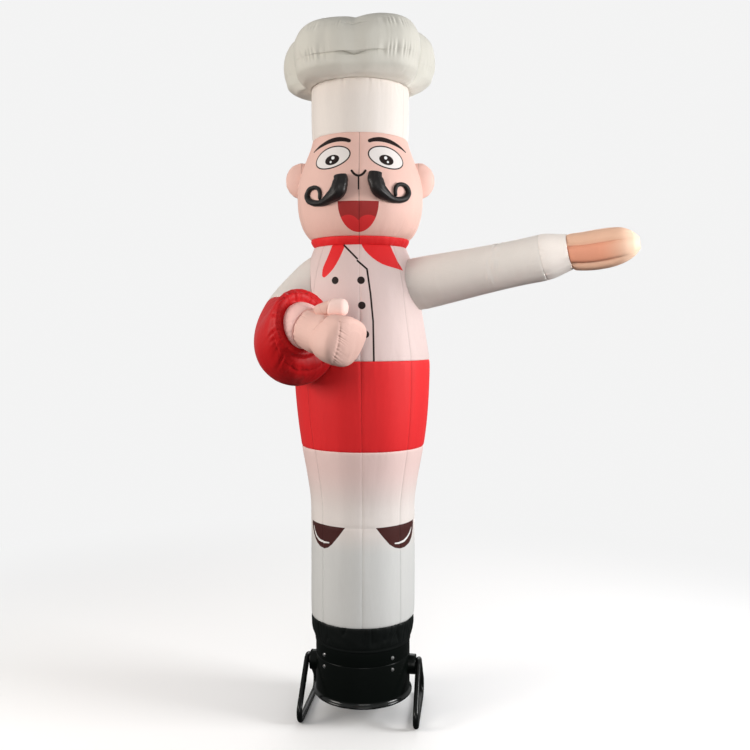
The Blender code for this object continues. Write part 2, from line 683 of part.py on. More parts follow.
def lean_and_centre(parts):
    """Bakes each piece, leans the cloth above the waist and moves all over the middle of the floor."""
    bpy.context.view_layer.update()
    graph = bpy.context.evaluated_depsgraph_get()
    baked = {}
    for piece in parts.objects:
        mesh = bpy.data.meshes.new_from_object(piece.evaluated_get(graph))
        mesh.transform(piece.matrix_world)
        for vertex in mesh.vertices:
            share = min(max((vertex.co.z - LEAN_FROM) / (LEAN_TO - LEAN_FROM), 0.0), 1.0)
            vertex.co.x += LEAN * share * share * (3 - 2 * share)
        baked[piece.name] = mesh
    points = [vertex.co for mesh in baked.values() for vertex in mesh.vertices]
    middle = Vector(
        (
            0.5 * (min(p.x for p in points) + max(p.x for p in points)),
            0.5 * (min(p.y for p in points) + max(p.y for p in points)),
            min(p.z for p in points),
        )
    )
    for name, mesh in baked.items():
        material = parts.objects[name].active_material.name
        bpy.data.objects.remove(parts.objects[name])
        mesh.name = name
        mesh.transform(Matrix.Translation(-middle))
        mesh.shade_smooth()
        mesh.set_sharp_from_angle(angle=SHARP_ANGLE)
        mesh.materials.clear()
        add(name, mesh, material, parts)


def main():
    clear_scene()
    make_materials()
    parts = bpy.data.collections.new("air_dancer")
    cutters = bpy.data.collections.new("cutters")
    for collection in (parts, cutters):
        bpy.context.scene.collection.children.link(collection)
    blower = bpy.data.objects.new("blower", None)
    blower.rotation_euler.z = BLOWER_TURN
    bpy.context.scene.collection.objects.link(blower)
    make_trunk(parts, cutters)
    make_crown(parts)
    make_ears(parts, cutters)
    make_moustache(parts, cutters)
    make_straight_arm(parts, cutters)
    make_bent_arm(parts, cutters)
    make_boot_cuff(parts)
    make_drum(parts, blower)
    make_bolts(parts, blower)
    make_side_frames(parts, blower)
    make_hubs(parts, cutters, blower)
    lean_and_centre(parts)
    for guide in [*cutters.objects, blower]:
        bpy.data.objects.remove(guide)
    bpy.data.collections.remove(cutters)


main()
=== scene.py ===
"""Dresses the inflatable air dancer: its sewn cloth full of air, its prints, and its blower and stand.

Metres, +Z up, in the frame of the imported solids. The figure is worked out round the blower's axis, as
its solids are, and each finished piece is then leaned and moved to its place.
"""

import math

import bmesh
import bpy
from bpy.props import FloatProperty, FloatVectorProperty, IntProperty, PointerProperty
from mathutils import Matrix, Vector, noise


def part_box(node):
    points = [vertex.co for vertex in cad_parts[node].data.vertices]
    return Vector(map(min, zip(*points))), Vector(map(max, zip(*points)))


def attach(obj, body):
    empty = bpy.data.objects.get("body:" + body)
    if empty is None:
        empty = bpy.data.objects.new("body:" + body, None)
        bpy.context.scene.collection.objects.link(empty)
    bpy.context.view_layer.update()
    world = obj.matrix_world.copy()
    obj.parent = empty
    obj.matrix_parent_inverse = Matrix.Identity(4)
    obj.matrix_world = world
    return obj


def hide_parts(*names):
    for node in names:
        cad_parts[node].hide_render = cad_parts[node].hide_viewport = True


bl_info = {
    "name": "Air dancer",
    "version": (1, 0, 0),
    "blender": (4, 5, 0),
    "location": "View3D > Sidebar > Air dancer",
    "description": "Builds an inflatable air dancer on its blower and stand",
    "category": "Object",
}

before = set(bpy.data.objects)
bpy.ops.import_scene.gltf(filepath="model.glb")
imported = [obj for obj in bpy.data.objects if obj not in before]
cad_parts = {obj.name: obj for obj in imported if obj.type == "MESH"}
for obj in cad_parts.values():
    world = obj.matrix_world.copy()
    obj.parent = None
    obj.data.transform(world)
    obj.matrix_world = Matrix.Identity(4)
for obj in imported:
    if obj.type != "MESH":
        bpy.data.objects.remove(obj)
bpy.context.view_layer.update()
DRUM_LOW, DRUM_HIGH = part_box("drum_upper")
AXIS = Vector(((DRUM_LOW.x + DRUM_HIGH.x) / 2, (DRUM_LOW.y + DRUM_HIGH.y) / 2, 0.0))

ROOT = "root"
CLOTH_MAP = "cloth"  # across and along the cloth, in metres
ROUND_MAP = "round"  # angle from the front, in radians, and distance along the piece, in metres
GAP = 0.0003  # between two pieces that touch
MERGE = 0.000002
RUN_IN = (0.0, 0.25, 0.5, 0.7, 0.85, 0.93, 0.985)  # shares of the last ring, from the middle of an end
CROWN_STEPS, EAR_STEPS, MOUSTACHE_STEPS = 540, 110, 48  # round each piece
BOOT_STEPS, HUB_STEPS, TUBE_STEPS, FLOOR_STEPS = 300, 64, 32, 96
START_STEPS, START_HALVINGS = 61, 24  # how finely the place where a limb leaves the trunk is found
END_STATIONS, END_LENGTH = (0.0, 0.0012, 0.0028, 0.005, 0.008, 0.012), 0.016  # rows next to a seam
FRONT, UP = Vector((0.0, -1.0, 0.0)), Vector((0.0, 0.0, 1.0))

# Heights of the seams above the floor, from the black cloth's hem to the hat's crown.
CUFF_FOOT, BOOT_SEAM, WAIST_SEAM, CHEST_SEAM, NECK_SEAM = 0.345, 0.441, 1.189, 1.57, 2.063
CHIN_SEAM, BROW_SEAM, CROWN_SEAM = 2.099, 2.538, 2.77
KNEE_SEAM = 0.865  # where the two toes hang
TRUNK_OUTLINE = (  # height, radius
    (CUFF_FOOT, 0.214), (0.372, 0.2215), (BOOT_SEAM, 0.229), (0.64, 0.2305), (0.87, 0.23),
    (0.96, 0.2325), (1.07, 0.249), (1.2, 0.2735), (1.33, 0.2905), (1.48, 0.301),
    (CHEST_SEAM, 0.302), (1.66, 0.29), (1.79, 0.271), (1.9, 0.256), (1.99, 0.232),
    (NECK_SEAM, 0.205),
)
HEAD_OUTLINE = (  # height, radius
    (CHIN_SEAM, 0.2205), (2.126, 0.243), (2.166, 0.262), (2.22, 0.275), (2.28, 0.279),
    (2.335, 0.2765), (2.395, 0.262), (2.455, 0.2395), (2.505, 0.2205), (BROW_SEAM, 0.2125),
)
HAT_BAND_OUTLINE = (  # height, radius
    (BROW_SEAM, 0.2125), (2.58, 0.2155), (2.65, 0.217), (CROWN_SEAM, 0.217),
)
SCARF_OUTLINE = (  # height, radius: a flat band that draws in to the neck
    (NECK_SEAM, 0.205), (2.072, 0.211), (2.083, 0.2168), (2.092, 0.2198), (CHIN_SEAM, 0.2205),
)
LEAN, LEAN_FROM, LEAN_TO = -0.012, 1.15, 2.08

# The upright seams, in degrees from the front towards the straight arm.
FIGURE_SEAMS = (0.0, 45.0, -50.0, 105.0, -110.0, 160.0)
LEG_SEAMS = (0.0, 45.0, -48.0, 105.0, -110.0, 160.0)
HEAD_SEAMS = (0.0, 75.0, -72.0, 135.0, -135.0)
HAT_SEAMS = (62.0, -70.0, 180.0)
SCARF_SEAMS, BOOT_SEAMS = (0.0, 85.0, -85.0), (0.0, 90.0, -90.0, 180.0)
STITCH_ASIDE, STITCH_PITCH = 0.0058, 0.0042  # from a seam's line to its stitches, and along them
THREAD, WEAVE_RELIEF = 0.0009, 0.00004
# Sizes of the cloth's waves, round a piece and along it, and how soon a seam's hold on it fades.
BILLOW_SIZE, STREAK_SIZE = (0.26, 0.42), (0.055, 0.6)
FINE_PUCKER, BROAD_PUCKER, PUCKER_REACH = (0.021, 0.25), (0.043, 0.3), 0.03
SEAM_REACH = 0.0036
UPRIGHT_DEPTH, UPRIGHT_WIDTH, UPRIGHT_PULL, UPRIGHT_REACH = 0.0018, 0.0055, 0.026, 0.014

# The hat's crown: five round lobes, with a valley at the front. No two are equally full.
LOBE_CENTRE, LOBE_RADIUS = 0.193, 0.158
LOBES = ((0.0, 0.01), (-0.003, -0.006), (0.0, 0.0), (0.009, 0.004), (0.003, 0.0))
CROWN_TURN = math.radians(-3.0)
CROWN_TILT = Vector((0.037, 0.03))
CROWN_SHIFT, CROWN_FOOT, CROWN_WIDEST = -0.004, 0.2185, 2.89
CROWN_TOP = 3.046
CROWN_OUTLINE = (  # height, share of the way from the foot to the lobe, share of the lobe's radius
    (3.048, 0.0, 0.16),
    (CROWN_TOP, 0.0, 0.42),
    (3.034, 0.0, 0.68),
    (3.01, 0.0, 0.86),
    (2.977, 0.0, 0.945),
    (2.938, 0.0, 0.99),
    (CROWN_WIDEST, 0.0, 1.0),
    (2.842, 0.0, 0.97),
    (2.805, 0.84, 0.0),
    (2.778, 0.58, 0.0),
    (2.769, 0.3, 0.0),
    (2.767, 0.09, 0.0),
    (CROWN_SEAM + GAP, 0.0, 0.0),
)
CROWN_ROUND = 0.3
CROWN_UPPER_SEAM = (  # distance round the crown, row of the outline
    (-0.95, 4.0), (-0.12, 4.0), (-0.045, 4.04), (-0.016, 4.22), (0.03, 4.02), (0.12, 3.96),
    (0.95, 4.0),
)
CROWN_LOWER_SEAM = (
    (-0.95, 6.95), (-0.18, 6.68), (-0.12, 6.72), (-0.055, 6.72), (-0.016, 7.05), (0.035, 6.72),
    (0.098, 6.66), (0.15, 6.52), (0.22, 6.5), (0.95, 6.9),
)
CROWN_UNDER = 9.1  # row about which painted light makes the cloth lighter, where light comes through it
# Painted light for the crown's lower side, and painted shadow for the folds of its seams.
CROWN_LIT, CROWN_FOLD_SHADOW = (0.96, 0.93, 0.85, 1.0), (0.22, 0.21, 0.17, 1.0)
CROWN_FREE_SHARE = 0.58  # from here up the crown sags with its tilt
CROWN_FRONT, CROWN_DIP, CROWN_DIP_WIDTH = 0.342, 0.009, math.radians(9.0)
CROWN_BLEND = 0.008  # metres over which the filled front runs into the lobes
CROWN_FILL_ROWS = (0.0, 0.0, 0.1, 0.45, 0.82, 1.0, 1.0, 1.0, 1.0, 1.0, 1.0, 1.0, 1.0)
CROWN_LOWER_PUCKERS = (  # degrees from the front, half width in degrees, strength
    (32.0, 15.0, 2.3), (-37.0, 12.0, 1.9), (98.0, 22.0, 1.4), (-112.0, 24.0, 1.4), (172.0, 25.0, 1.4),
)
CROWN_UPPER_PUCKERS = (
    (29.0, 10.0, 1.8), (-38.0, 9.0, 1.3), (-12.0, 6.0, 1.4), (96.0, 20.0, 1.2), (-118.0, 20.0, 1.2),
    (176.0, 22.0, 1.2),
)
CROWN_SEAMS = (  # line, the stretch of it that is folded over, lip, half width of its shadow, puckers
    (CROWN_UPPER_SEAM, (-0.045, 0.012), 0.001, 0.016, CROWN_UPPER_PUCKERS),
    (CROWN_LOWER_SEAM, (-0.17, 0.098), 0.003, 0.034, CROWN_LOWER_PUCKERS),
)
CROWN_EVEN_PUCKER = 0.12  # strength between the places above
CROWN_PLEAT, CROWN_PLEAT_MEAN = 0.0165, 0.64  # distance between its pleats, and their mean height
CROWN_VALLEY_DEPTH, CROWN_VALLEY_WIDTH = 0.0018, 0.014
CROWN_SEAM_DEPTH, CROWN_TUCK_DEPTH = 0.003, 0.006
CROWN_PUCKER_ROWS = 0.52  # from a seam, the rows its puckers reach

EAR_HEIGHT, EAR_OUT, EAR_HALF, EAR_ROUND = 2.366, 0.26, Vector((0.073, 0.046, 0.081)), 0.078

MOUSTACHE = (  # across from the middle, height, half width
    (0.075, 2.346, 0.0265), (0.0722, 2.3219, 0.0296), (0.0768, 2.2994, 0.0322), (0.09, 2.27, 0.0322),
    (0.1255, 2.2471, 0.0225), (0.158, 2.2348, 0.0158), (0.191, 2.234, 0.014), (0.219, 2.24, 0.0138),
    (0.241, 2.2535, 0.0134), (0.25, 2.274, 0.0122), (0.235, 2.2956, 0.0108), (0.206, 2.3024, 0.0092),
    (0.182, 2.293, 0.009), (0.174, 2.2735, 0.0084), (0.1775, 2.247, 0.0072),
)
MOUSTACHE_OFF, MOUSTACHE_ROUND = 0.5, 0.02
MOUSTACHE_TIP = 0.35  # rows over which the far end closes
MOUSTACHE_PULL, MOUSTACHE_LUMP, MOUSTACHE_SEAM = 0.085, 0.05, 0.05
MOUSTACHE_BLUNT = (0.4, 4.0)  # the end at the nose: how soon it is full, and how square
MOUSTACHE_SIDES = {-1: (1.0, 0.0, 0.0), 1: (0.925, -0.004, 0.012)}  # stretch and move across, lift

# Straight arm.
SHOULDER = Vector((0.222, -0.05, 1.897))
SLEEVE_WAY = Vector((0.918, -0.366, 0.177)).normalized()
SLEEVE_LENGTH, WRIST_LENGTH = 0.597, 0.706
SLEEVE_ROUND, WRIST_ROUND = 0.105, 0.088  # radii for the steps and maps of the cloth round each piece
SLEEVE_FOLDS = (0.452, 0.034)  # place along the sleeve, half width
SLEEVE_FOLD_SIZE, SLEEVE_SLACK_SIZE = (0.05, 0.013), (0.1, 0.035)
SLEEVE_OUTLINE = (  # along the arm from the shoulder, radius
    (-0.1, 0.116), (0.05, 0.115), (0.222, 0.107), (0.395, 0.0995), (0.5, 0.0965),
    (SLEEVE_LENGTH, 0.0975),
)
CUFF_OUTLINE = (  # along the arm from the shoulder, radius
    (SLEEVE_LENGTH, 0.0975), (0.63, 0.0935), (0.67, 0.083), (WRIST_LENGTH, 0.0745),
)
MITTEN_WAY = Vector((0.918, -0.366, 0.098)).normalized()
MITTEN_FACE = math.radians(-14.0)
MITTEN_ROUND = 0.078
# Painted shadow for the hand's grooves, and painted light for its tip.
GROOVE_SHADOW, TIP_LIGHT = (0.38, 0.1, 0.055, 1.0), (0.92, 0.72, 0.56, 1.0)
MITTEN_GROOVE, MITTEN_GROOVE_WIDTH = math.radians(33.0), math.radians(9.0)
MITTEN_GROOVE_DEPTH = 0.13 * 0.075
MITTEN_GROOVES = (-MITTEN_GROOVE, MITTEN_GROOVE, math.pi - MITTEN_GROOVE, math.pi + MITTEN_GROOVE)
MITTEN = (  # along the hand, drop, half height, half depth, share of the grooves' depth
    (0.0, 0.0, 0.0735, 0.066, 0.3),
    (0.02, 0.002, 0.077, 0.068, 1.0),
    (0.06, 0.005, 0.08, 0.069, 1.0),
    (0.11, 0.005, 0.082, 0.068, 1.0),
    (0.165, 0.003, 0.08, 0.064, 0.9),
    (0.215, 0.0, 0.07, 0.057, 0.4),
    (0.253, 0.0, 0.049, 0.042, 0.1),
    (0.276, 0.0, 0.024, 0.021, 0.0),
)

# Bent arm. Turn is how far a section faces from the front towards +X, and dip how far it faces down.
UPPER_ARM = (  # x, y, z, turn, dip, radius
    (-0.085, 0.01, 1.965, -90.0, 40.0, 0.127),
    (-0.165, 0.0, 1.905, -88.0, 44.0, 0.133),
    (-0.225, -0.025, 1.84, -70.0, 48.0, 0.136),
    (-0.287, -0.076, 1.78, -33.0, 60.0, 0.13),
)
FOREARM = (  # x, y, z, turn, dip, radius
    (-0.287, -0.076, 1.78, -33.0, 60.0, 0.13),
    (-0.292, -0.138, 1.722, -10.0, 46.0, 0.147),
    (-0.285, -0.205, 1.675, 3.0, 32.0, 0.161),
    (-0.27, -0.275, 1.645, 14.0, 16.0, 0.17),
    (-0.257, -0.338, 1.642, 25.0, 2.0, 0.171),
    (-0.238, -0.381, 1.672, 35.0, -6.0, 0.167),
    (-0.225, -0.408, 1.708, 42.0, -7.0, 0.158),
    (-0.232, -0.438, 1.723, 44.0, -5.0, 0.124),
)
LIMB_FACING = Vector((-0.6, -0.8, 0.0))
UPPER_ARM_LENGTH, UPPER_ARM_ROUND = 0.29, 0.133
FOREARM_LENGTH, FOREARM_ROUND = 0.46, 0.165
FOREARM_UNDER = math.radians(125.0)  # where on its round the lower side lies
# Painted shadow for the forearm's lower side.
FOREARM_SHADOW = (0.1, 0.002, 0.003, 1.0)
CAP_SEAM = (0.014, 0.082, 1.3)  # from the forearm's end: least, how much more below, and how soon
CAP_GATHER = (1.9, 0.026, 0.004, 0.0045)  # at its seam: puckers, their reach, lumps on the cap, hollow
CAP_FINE, CAP_BROAD = (0.017, 0.2), (0.05, 0.2)  # sizes of the puckers
CAP_PUFF = (0.09, 0.045, 0.01)  # the cap swells round the cuff: from this radius, over, how far
CAP_CREASES = (0.088, 0.15)  # radii between which the cap is creased towards the cuff
CAP_RUN_IN = (0.0, 0.25, 0.5, 0.68, 0.72, 0.76, 0.8, 0.85, 0.9, 0.95, 0.985)
FIST_TURN, FIST_DIP = 47.0, 20.0
FIST_CUFF = (  # along the fist, radius
    (0.0, 0.088), (0.012, 0.0915), (0.032, 0.0905), (0.048, 0.086),
)
FIST = (  # along, rise, half height, half depth, squareness
    (0.048, 0.002, 0.082, 0.079, 2.0),
    (0.078, 0.001, 0.081, 0.081, 2.0),
    (0.105, 0.002, 0.0825, 0.082, 2.0),
    (0.125, 0.005, 0.0835, 0.083, 2.1),
    (0.15, 0.009, 0.086, 0.087, 2.2),
    (0.18, 0.01, 0.093, 0.096, 2.3),
    (0.21, 0.012, 0.0975, 0.102, 2.4),
    (0.238, 0.017, 0.0985, 0.102, 2.6),
    (0.263, 0.022, 0.095, 0.094, 2.7),
    (0.281, 0.027, 0.077, 0.073, 2.5),
    (0.29, 0.029, 0.046, 0.042, 2.2),
)
FIST_ROUND, FIST_CUFF_ROUND = 0.092, 0.09
FOLD_SHADE = 0.0012  # half width of the shadow in a fold
# Painted shadow for the folds of the fist and thumb, and painted light for the thumb's tip.
SKIN_SHADOW, THUMB_LIGHT = (0.42, 0.19, 0.13, 1.0), (0.96, 0.7, 0.635, 1.0)
FIST_MIDDLE = 0.12
END_PANEL = (0.212, 0.236)  # along the fist, where its side turns into its end
KNUCKLE_SEAM = (  # x and z of the seam of the end panel, seen from the front
    (-0.108, 1.776), (-0.0812, 1.7573), (-0.0697, 1.739), (-0.0652, 1.7183), (-0.0663, 1.7),
    (-0.0697, 1.6771), (-0.0732, 1.6542), (-0.0789, 1.6313), (-0.0881, 1.6015), (-0.0972, 1.574),
    (-0.106, 1.55),
)
KNUCKLE_WAY = Vector((0.25, -0.95, 0.05)).normalized()
KNUCKLE_PITCH, KNUCKLE_SLANT, KNUCKLE_MEAN = 0.014, 0.45, 0.62
KNUCKLE_DEPTH, KNUCKLE_HOLLOW, KNUCKLE_REACH = 0.0048, 0.004, (0.0125, 0.0045)  # each side of the seam
FIST_FOLDS = (  # from and to, as distances round and along the fist, and depth
    ((0.002, 0.11), (0.048, 0.124), 0.0075),
    ((0.048, 0.124), (0.088, 0.112), 0.008),
    ((0.088, 0.112), (0.12, 0.036), 0.0045),
    ((0.074, 0.118), (0.143, 0.085), 0.0045),
    ((-0.143, 0.085), (-0.101, 0.105), 0.0055),
)
THUMB_START = Vector((-0.15, -0.52, 1.784))
THUMB_TURN, THUMB_DIP, THUMB_SQUARENESS = 72.0, -2.0, 2.4
THUMB_FOLD = 0.068  # from its foot, where the thumb folds against the hand
THUMB_SLANT = 0.01
THUMB_FOLD_DEPTH, THUMB_STEP, THUMB_RAMP = 0.0065, 0.003, 0.02  # in the fold, and below it
THUMB_ROUND = 0.037
THUMB_CREASE = ((0.0174, 0.031), (-0.017, 0.042), (-0.037, 0.056))  # a small fold on its foot
THUMB = (  # along, half height, half depth
    (-0.022, 0.019, 0.02),
    (-0.008, 0.031, 0.034),
    (0.025, 0.0355, 0.04),
    (0.068, 0.0355, 0.04),
    (0.094, 0.0328, 0.0358),
    (0.107, 0.0258, 0.028),
    (0.1145, 0.011, 0.0115),
)

# Blower.
BLOWER_TURN = math.radians(-7.0)
DRUM_RADIUS, DRUM_BOTTOM, DRUM_SPLIT, DRUM_TOP = 0.209, 0.095, 0.27, 0.372
DRUM_RIM, DRUM_RIM_HALF, DRUM_RIM_RISE = 0.219, 0.007, 0.022
DRUM_WALL, DRUM_RECESS = 0.006, 0.014
DRUM_EDGE = ((0.003, GAP / 2), (0.0012, 0.0006), (0.0003, 0.0018), (0.0, 0.0035))  # inwards, off the split
BOOT_ROUND, BOOT_FOLD_SIZE = 0.225, (0.032, 0.16)
HEM_HEIGHT, HEM_THICKNESS, HEM_EASE = 0.332, 0.0025, 0.0005
HEM_ROWS = ((0.341, 1.0), (0.337, 1.0), (HEM_HEIGHT, 1.0), (HEM_HEIGHT, -1.0), (0.35, -1.0))
BOLT_RADIUS, BOLT_HEAD, BOLT_FROM_SPLIT = 0.008, 0.005, 0.025
BOLT_ANGLES = (-45.0, 45.0, 135.0, 225.0)
BOLT_WASHER, BOLT_HEX = 0.0014, 0.0066
BOLT_PARTS = (  # sides, radius, from the drum's wall, thickness, bevel
    (28, BOLT_RADIUS, 0.0, BOLT_WASHER, 0.0004),
    (6, BOLT_HEX, BOLT_WASHER, BOLT_HEAD - BOLT_WASHER, 0.0008),
)
HUB_RADIUS, HUB_HEIGHT, HUB_EDGE = 0.043, 0.215, 0.0035
HUB_ROWS = (  # part of the block, and share of the way out along it or of its radius
    ("in", 0.0), ("in", 0.5), ("in", 1.0), ("wall", 0.25), ("wall", 0.6), ("edge", 0.0), ("edge", 0.33),
    ("edge", 0.66), ("edge", 1.0), ("out", 0.72), ("out", 0.7), ("dish", 0.68), ("dish", 0.3), ("dish", 0.0),
)
TUBE_SOLID_RADIUS = 0.0125
TUBE_RADIUS = TUBE_SOLID_RADIUS * math.cos(math.pi / 12)  # it rests on the floor as the solid's flats do
FRAME_HALF_WIDTH, FRAME_HALF_LENGTH = 0.25, 0.245
FRAME_TOP, FRAME_TOP_BEND, FRAME_FOOT_BEND = 0.248, 0.045, 0.04

# Prints, in metres across the cloth from the front seam and above the floor.
EYE = dict(across=0.1222, height=2.427, half_width=0.0878, half_height=0.05, turn=12.5)
EYE_LINE = 0.0058
PUPIL = dict(across=0.119, height=2.4155, half_width=0.034, half_height=0.0225, turn=12.0)
GLINTS = ((-0.004, 0.009, 0.0075), (0.006, -0.009, 0.005))  # across and up from the pupil, radius
BROW = (  # across, height, half width
    (0.236, 2.469, 0.003), (0.198, 2.4855, 0.0065), (0.142, 2.5025, 0.0098),
    (0.096, 2.5085, 0.0105), (0.064, 2.5055, 0.0092), (0.044, 2.499, 0.0082),
)
NOSE = (
    (-0.031, 2.3625, 0.005), (-0.022, 2.35, 0.005), (-0.009, 2.342, 0.005),
    (0.004, 2.342, 0.005), (0.017, 2.35, 0.005), (0.026, 2.3625, 0.005),
)
NOSE_LINE = ((-0.0025, 2.342, 0.0033), (-0.0025, 2.285, 0.0029))
MOUTH = dict(across=-0.004, height=2.237, half_width=0.0875, half_height=0.125)  # its lower half
TONGUE_TOP, TONGUE_DIP = 2.1745, 0.006
EYE_WHITE, GLINT_WHITE = (0.86, 0.81, 0.785, 1.0), (0.9, 0.9, 0.9, 1.0)
LEFT_TAIL = (  # across, height, half width: a leaf that hangs from the knot
    (-0.094, 2.06, 0.03), (-0.113, 2.015, 0.0285), (-0.133, 1.98, 0.0265),
    (-0.15, 1.956, 0.0225), (-0.162, 1.936, 0.013),
)
RIGHT_TAIL = (  # points of its lower and upper edge, the way round
    ((0.008, 2.064), (0.0225, 2.0371), (0.056, 2.004), (0.098, 1.979), (0.147, 1.966),
     (0.211, 1.9545)),
    ((0.211, 1.9545), (0.1821, 1.9923), (0.1549, 2.0374), (0.144, 2.064)),
)
PLACKET = (
    ((-0.0667, 2.06), (-0.0096, 2.0004)),
    ((-0.0083, 1.9913), (0.032, 1.9557), (0.0457, 1.853), (0.055, 1.7361), (0.055, 1.569)),
)
PLACKET_HALF = 0.004
BUTTONS = ((-0.1062, 1.9084), (0.0065, 1.9079), (0.0086, 1.8023), (0.0216, 1.6822))
BUTTON_RADIUS = 0.016
TOES = (  # across, height: corners of each toe, and across, height, half width of its shine
    (
        ((-0.296, 0.868), (-0.286, 0.838), (-0.268, 0.808), (-0.24, 0.782), (-0.208, 0.7675),
         (-0.182, 0.764), (-0.158, 0.7715), (-0.137, 0.788), (-0.105, 0.824), (-0.071, 0.868)),
        ((-0.269, 0.8445, 0.0028), (-0.258, 0.825, 0.004), (-0.242, 0.807, 0.0046),
         (-0.216, 0.795, 0.0048), (-0.185, 0.7905, 0.0042), (-0.154, 0.793, 0.0026)),
    ),
    (
        ((0.056, 0.868), (0.09, 0.824), (0.122, 0.789), (0.15, 0.7715), (0.18, 0.7635),
         (0.21, 0.7645), (0.246, 0.774), (0.276, 0.796), (0.294, 0.826), (0.304, 0.868)),
        ((0.1518, 0.79, 0.0026), (0.178, 0.788, 0.0042), (0.205, 0.792, 0.0048),
         (0.2297, 0.802, 0.0046), (0.254, 0.817, 0.004), (0.2724, 0.8358, 0.0028)),
    ),
)
KNEE_LINE, TOE_SHINE = (0.2, 0.18, 0.17, 1.0), (0.8, 0.78, 0.76, 1.0)
TINT_FROM, TINT_TO, TINT_LOW = 1.13, 0.9, 0.74  # heights between which the trousers' white changes

# Lights: name, degrees from the front towards the straight arm, metres away and up, size, share of
# the key light's power, colour.
SOFT_LIGHTS = (
    ("right", 76.0, 4.5, 2.2, 1.6, 1.0, (1.0, 1.0, 1.0)),
    ("left", -68.0, 4.5, 2.3, 2.0, 0.64, (1.0, 0.945, 0.88)),
    ("front", 4.0, 5.5, 1.9, 2.5, 0.3, (1.0, 0.98, 0.96)),
    ("back", 170.0, 4.5, 3.6, 3.0, 0.4, (1.0, 1.0, 1.0)),
)
HAND_LIGHT = (  # place, target, size, share of the key light's power, spread in degrees
    (2.0, -2.6, 2.2), (0.92, -0.34, 2.02), 0.5, 0.004, 26.0,
)
LIGHTS_TARGET = 1.6
FLOOR_LIT = (1.2, 4.0)  # from the blower, in metres, the floor turns from lit to even
FLOOR_FLAT, FLOOR_BEND, FLOOR_TOP = 9.0, 3.0, 9.0


def tint(name, description, *default):
    """A colour that a user may change."""
    return FloatVectorProperty(
        name=name, description=description, subtype="COLOR", size=3, min=0.0, max=1.0, default=default,
    )


def number(name, description, low, high, default, **unit):
    """A number that a user may change, within its range."""
    return FloatProperty(name=name, description=description, min=low, max=high, default=default, **unit)


def metres(*given):
    return number(*given, subtype="DISTANCE", unit="LENGTH")


class AirDancerCloth(bpy.types.PropertyGroup):
    """Colours of the cloth and how it is gathered at its seams."""

    jacket: tint("Jacket cloth", "White cloth of the jacket", 0.72, 0.575, 0.55)
    sleeve: tint("Sleeve cloth", "White cloth of the two sleeves", 0.74, 0.695, 0.65)
    thigh: tint("Upper trousers", "White cloth well above the toes", 0.83, 0.62, 0.585)
    knee: tint("Knee of the trousers", "White cloth just above the toes", 0.79, 0.725, 0.69)
    shin: tint("Lower trousers", "White cloth at the toes and below", 0.66, 0.66, 0.645)
    crown: tint("Crown cloth", "Crown of the hat", 0.68, 0.66, 0.594)
    hat_band: tint("Hat band cloth", "Band of the hat and the straight arm's cuff", 0.84, 0.775, 0.725)
    red: tint("Red cloth", "Sash, scarf and its printed tails", 0.765, 0.0245, 0.0275)
    cuff: tint("Cuff at the fist", "Pinkish white cloth of the bent arm's cuff", 0.97, 0.61, 0.56)
    # A darker copy of the red cloth: painted shade, for the forearm that lies in shadow.
    forearm: tint("Forearm cloth", "Red cloth of the bent forearm", 0.56, 0.0105, 0.013)
    skin: tint("Skin cloth", "Head, ears, fist and thumb", 0.83, 0.54, 0.468)
    hand: tint("Hand cloth", "Hand of the straight arm", 0.74, 0.455, 0.32)
    palm: tint("Palm cloth", "Palm of the straight arm's hand", 0.73, 0.32, 0.205)
    black: tint("Moustache cloth", "Black cloth of the moustache", 0.012, 0.01, 0.01)
    boot: tint("Boot cloth", "Black cloth round the blower", 0.0055, 0.007, 0.0065)
    ink: tint("Black print", "Lines of the face and the jacket", 0.018, 0.01, 0.009)
    mouth: tint("Mouth print", "Inside of the mouth", 0.36, 0.03, 0.028)
    tongue: tint("Tongue print", "Tongue", 0.66, 0.032, 0.034)
    toe: tint("Toe print", "Toes of the shoes on the trousers", 0.06, 0.016, 0.014)
    spacing: metres("Mesh spacing", "Size of the faces of the cloth", 0.003, 0.02, 0.005)
    pucker: metres("Pucker depth", "Depth of the folds that run into a gathered seam", 0.0, 0.01, 0.0034)
    seam_depth: metres("Seam depth", "How far a seam holds the cloth in", 0.0, 0.01, 0.003)


class AirDancerBlower(bpy.types.PropertyGroup):
    """Finishes of the blower and its stand."""

    plastic: tint("Drum plastic", "Moulded drum and its side blocks", 0.003, 0.0042, 0.0036)
    paint: tint("Frame paint", "Painted tube of the side frames", 0.004, 0.0048, 0.0045)
    bolt: tint("Bolt steel", "Bolts of the drum", 0.66, 0.66, 0.66)
    round_steps: IntProperty(
        name="Round steps", description="Sides of the drum's rings", min=32, max=256, default=160,
    )


class AirDancerStage(bpy.types.PropertyGroup):
    """Floor, lights and camera."""

    floor: tint("Floor colour", "Plain pale floor and backdrop", 0.9, 0.9, 0.9)
    sky: number("Sky strength", "Even light from above", 0.0, 5.0, 0.55)
    side_sky: number("Side strength", "Even light from all round", 0.0, 5.0, 0.36)
    key: number("Key light", "Soft light from the right, in watts", 0.0, 2000.0, 197.0)
    eye_height: metres("Eye height", "Camera above the floor", 0.1, 10.0, 1.7)
    distance: metres("Distance", "Camera from the blower's axis", 1.0, 20.0, 3.72)
    aside: metres("Aside", "Camera to the side of the blower's axis", -5.0, 5.0, 0.054)
    lens: number("Lens", "Focal length in millimetres", 10.0, 200.0, 39.84)
    shift: number("Shift", "Upright shift of the lens", -0.2, 0.2, -0.06)


# ---------------------------------------------------------------- shapes


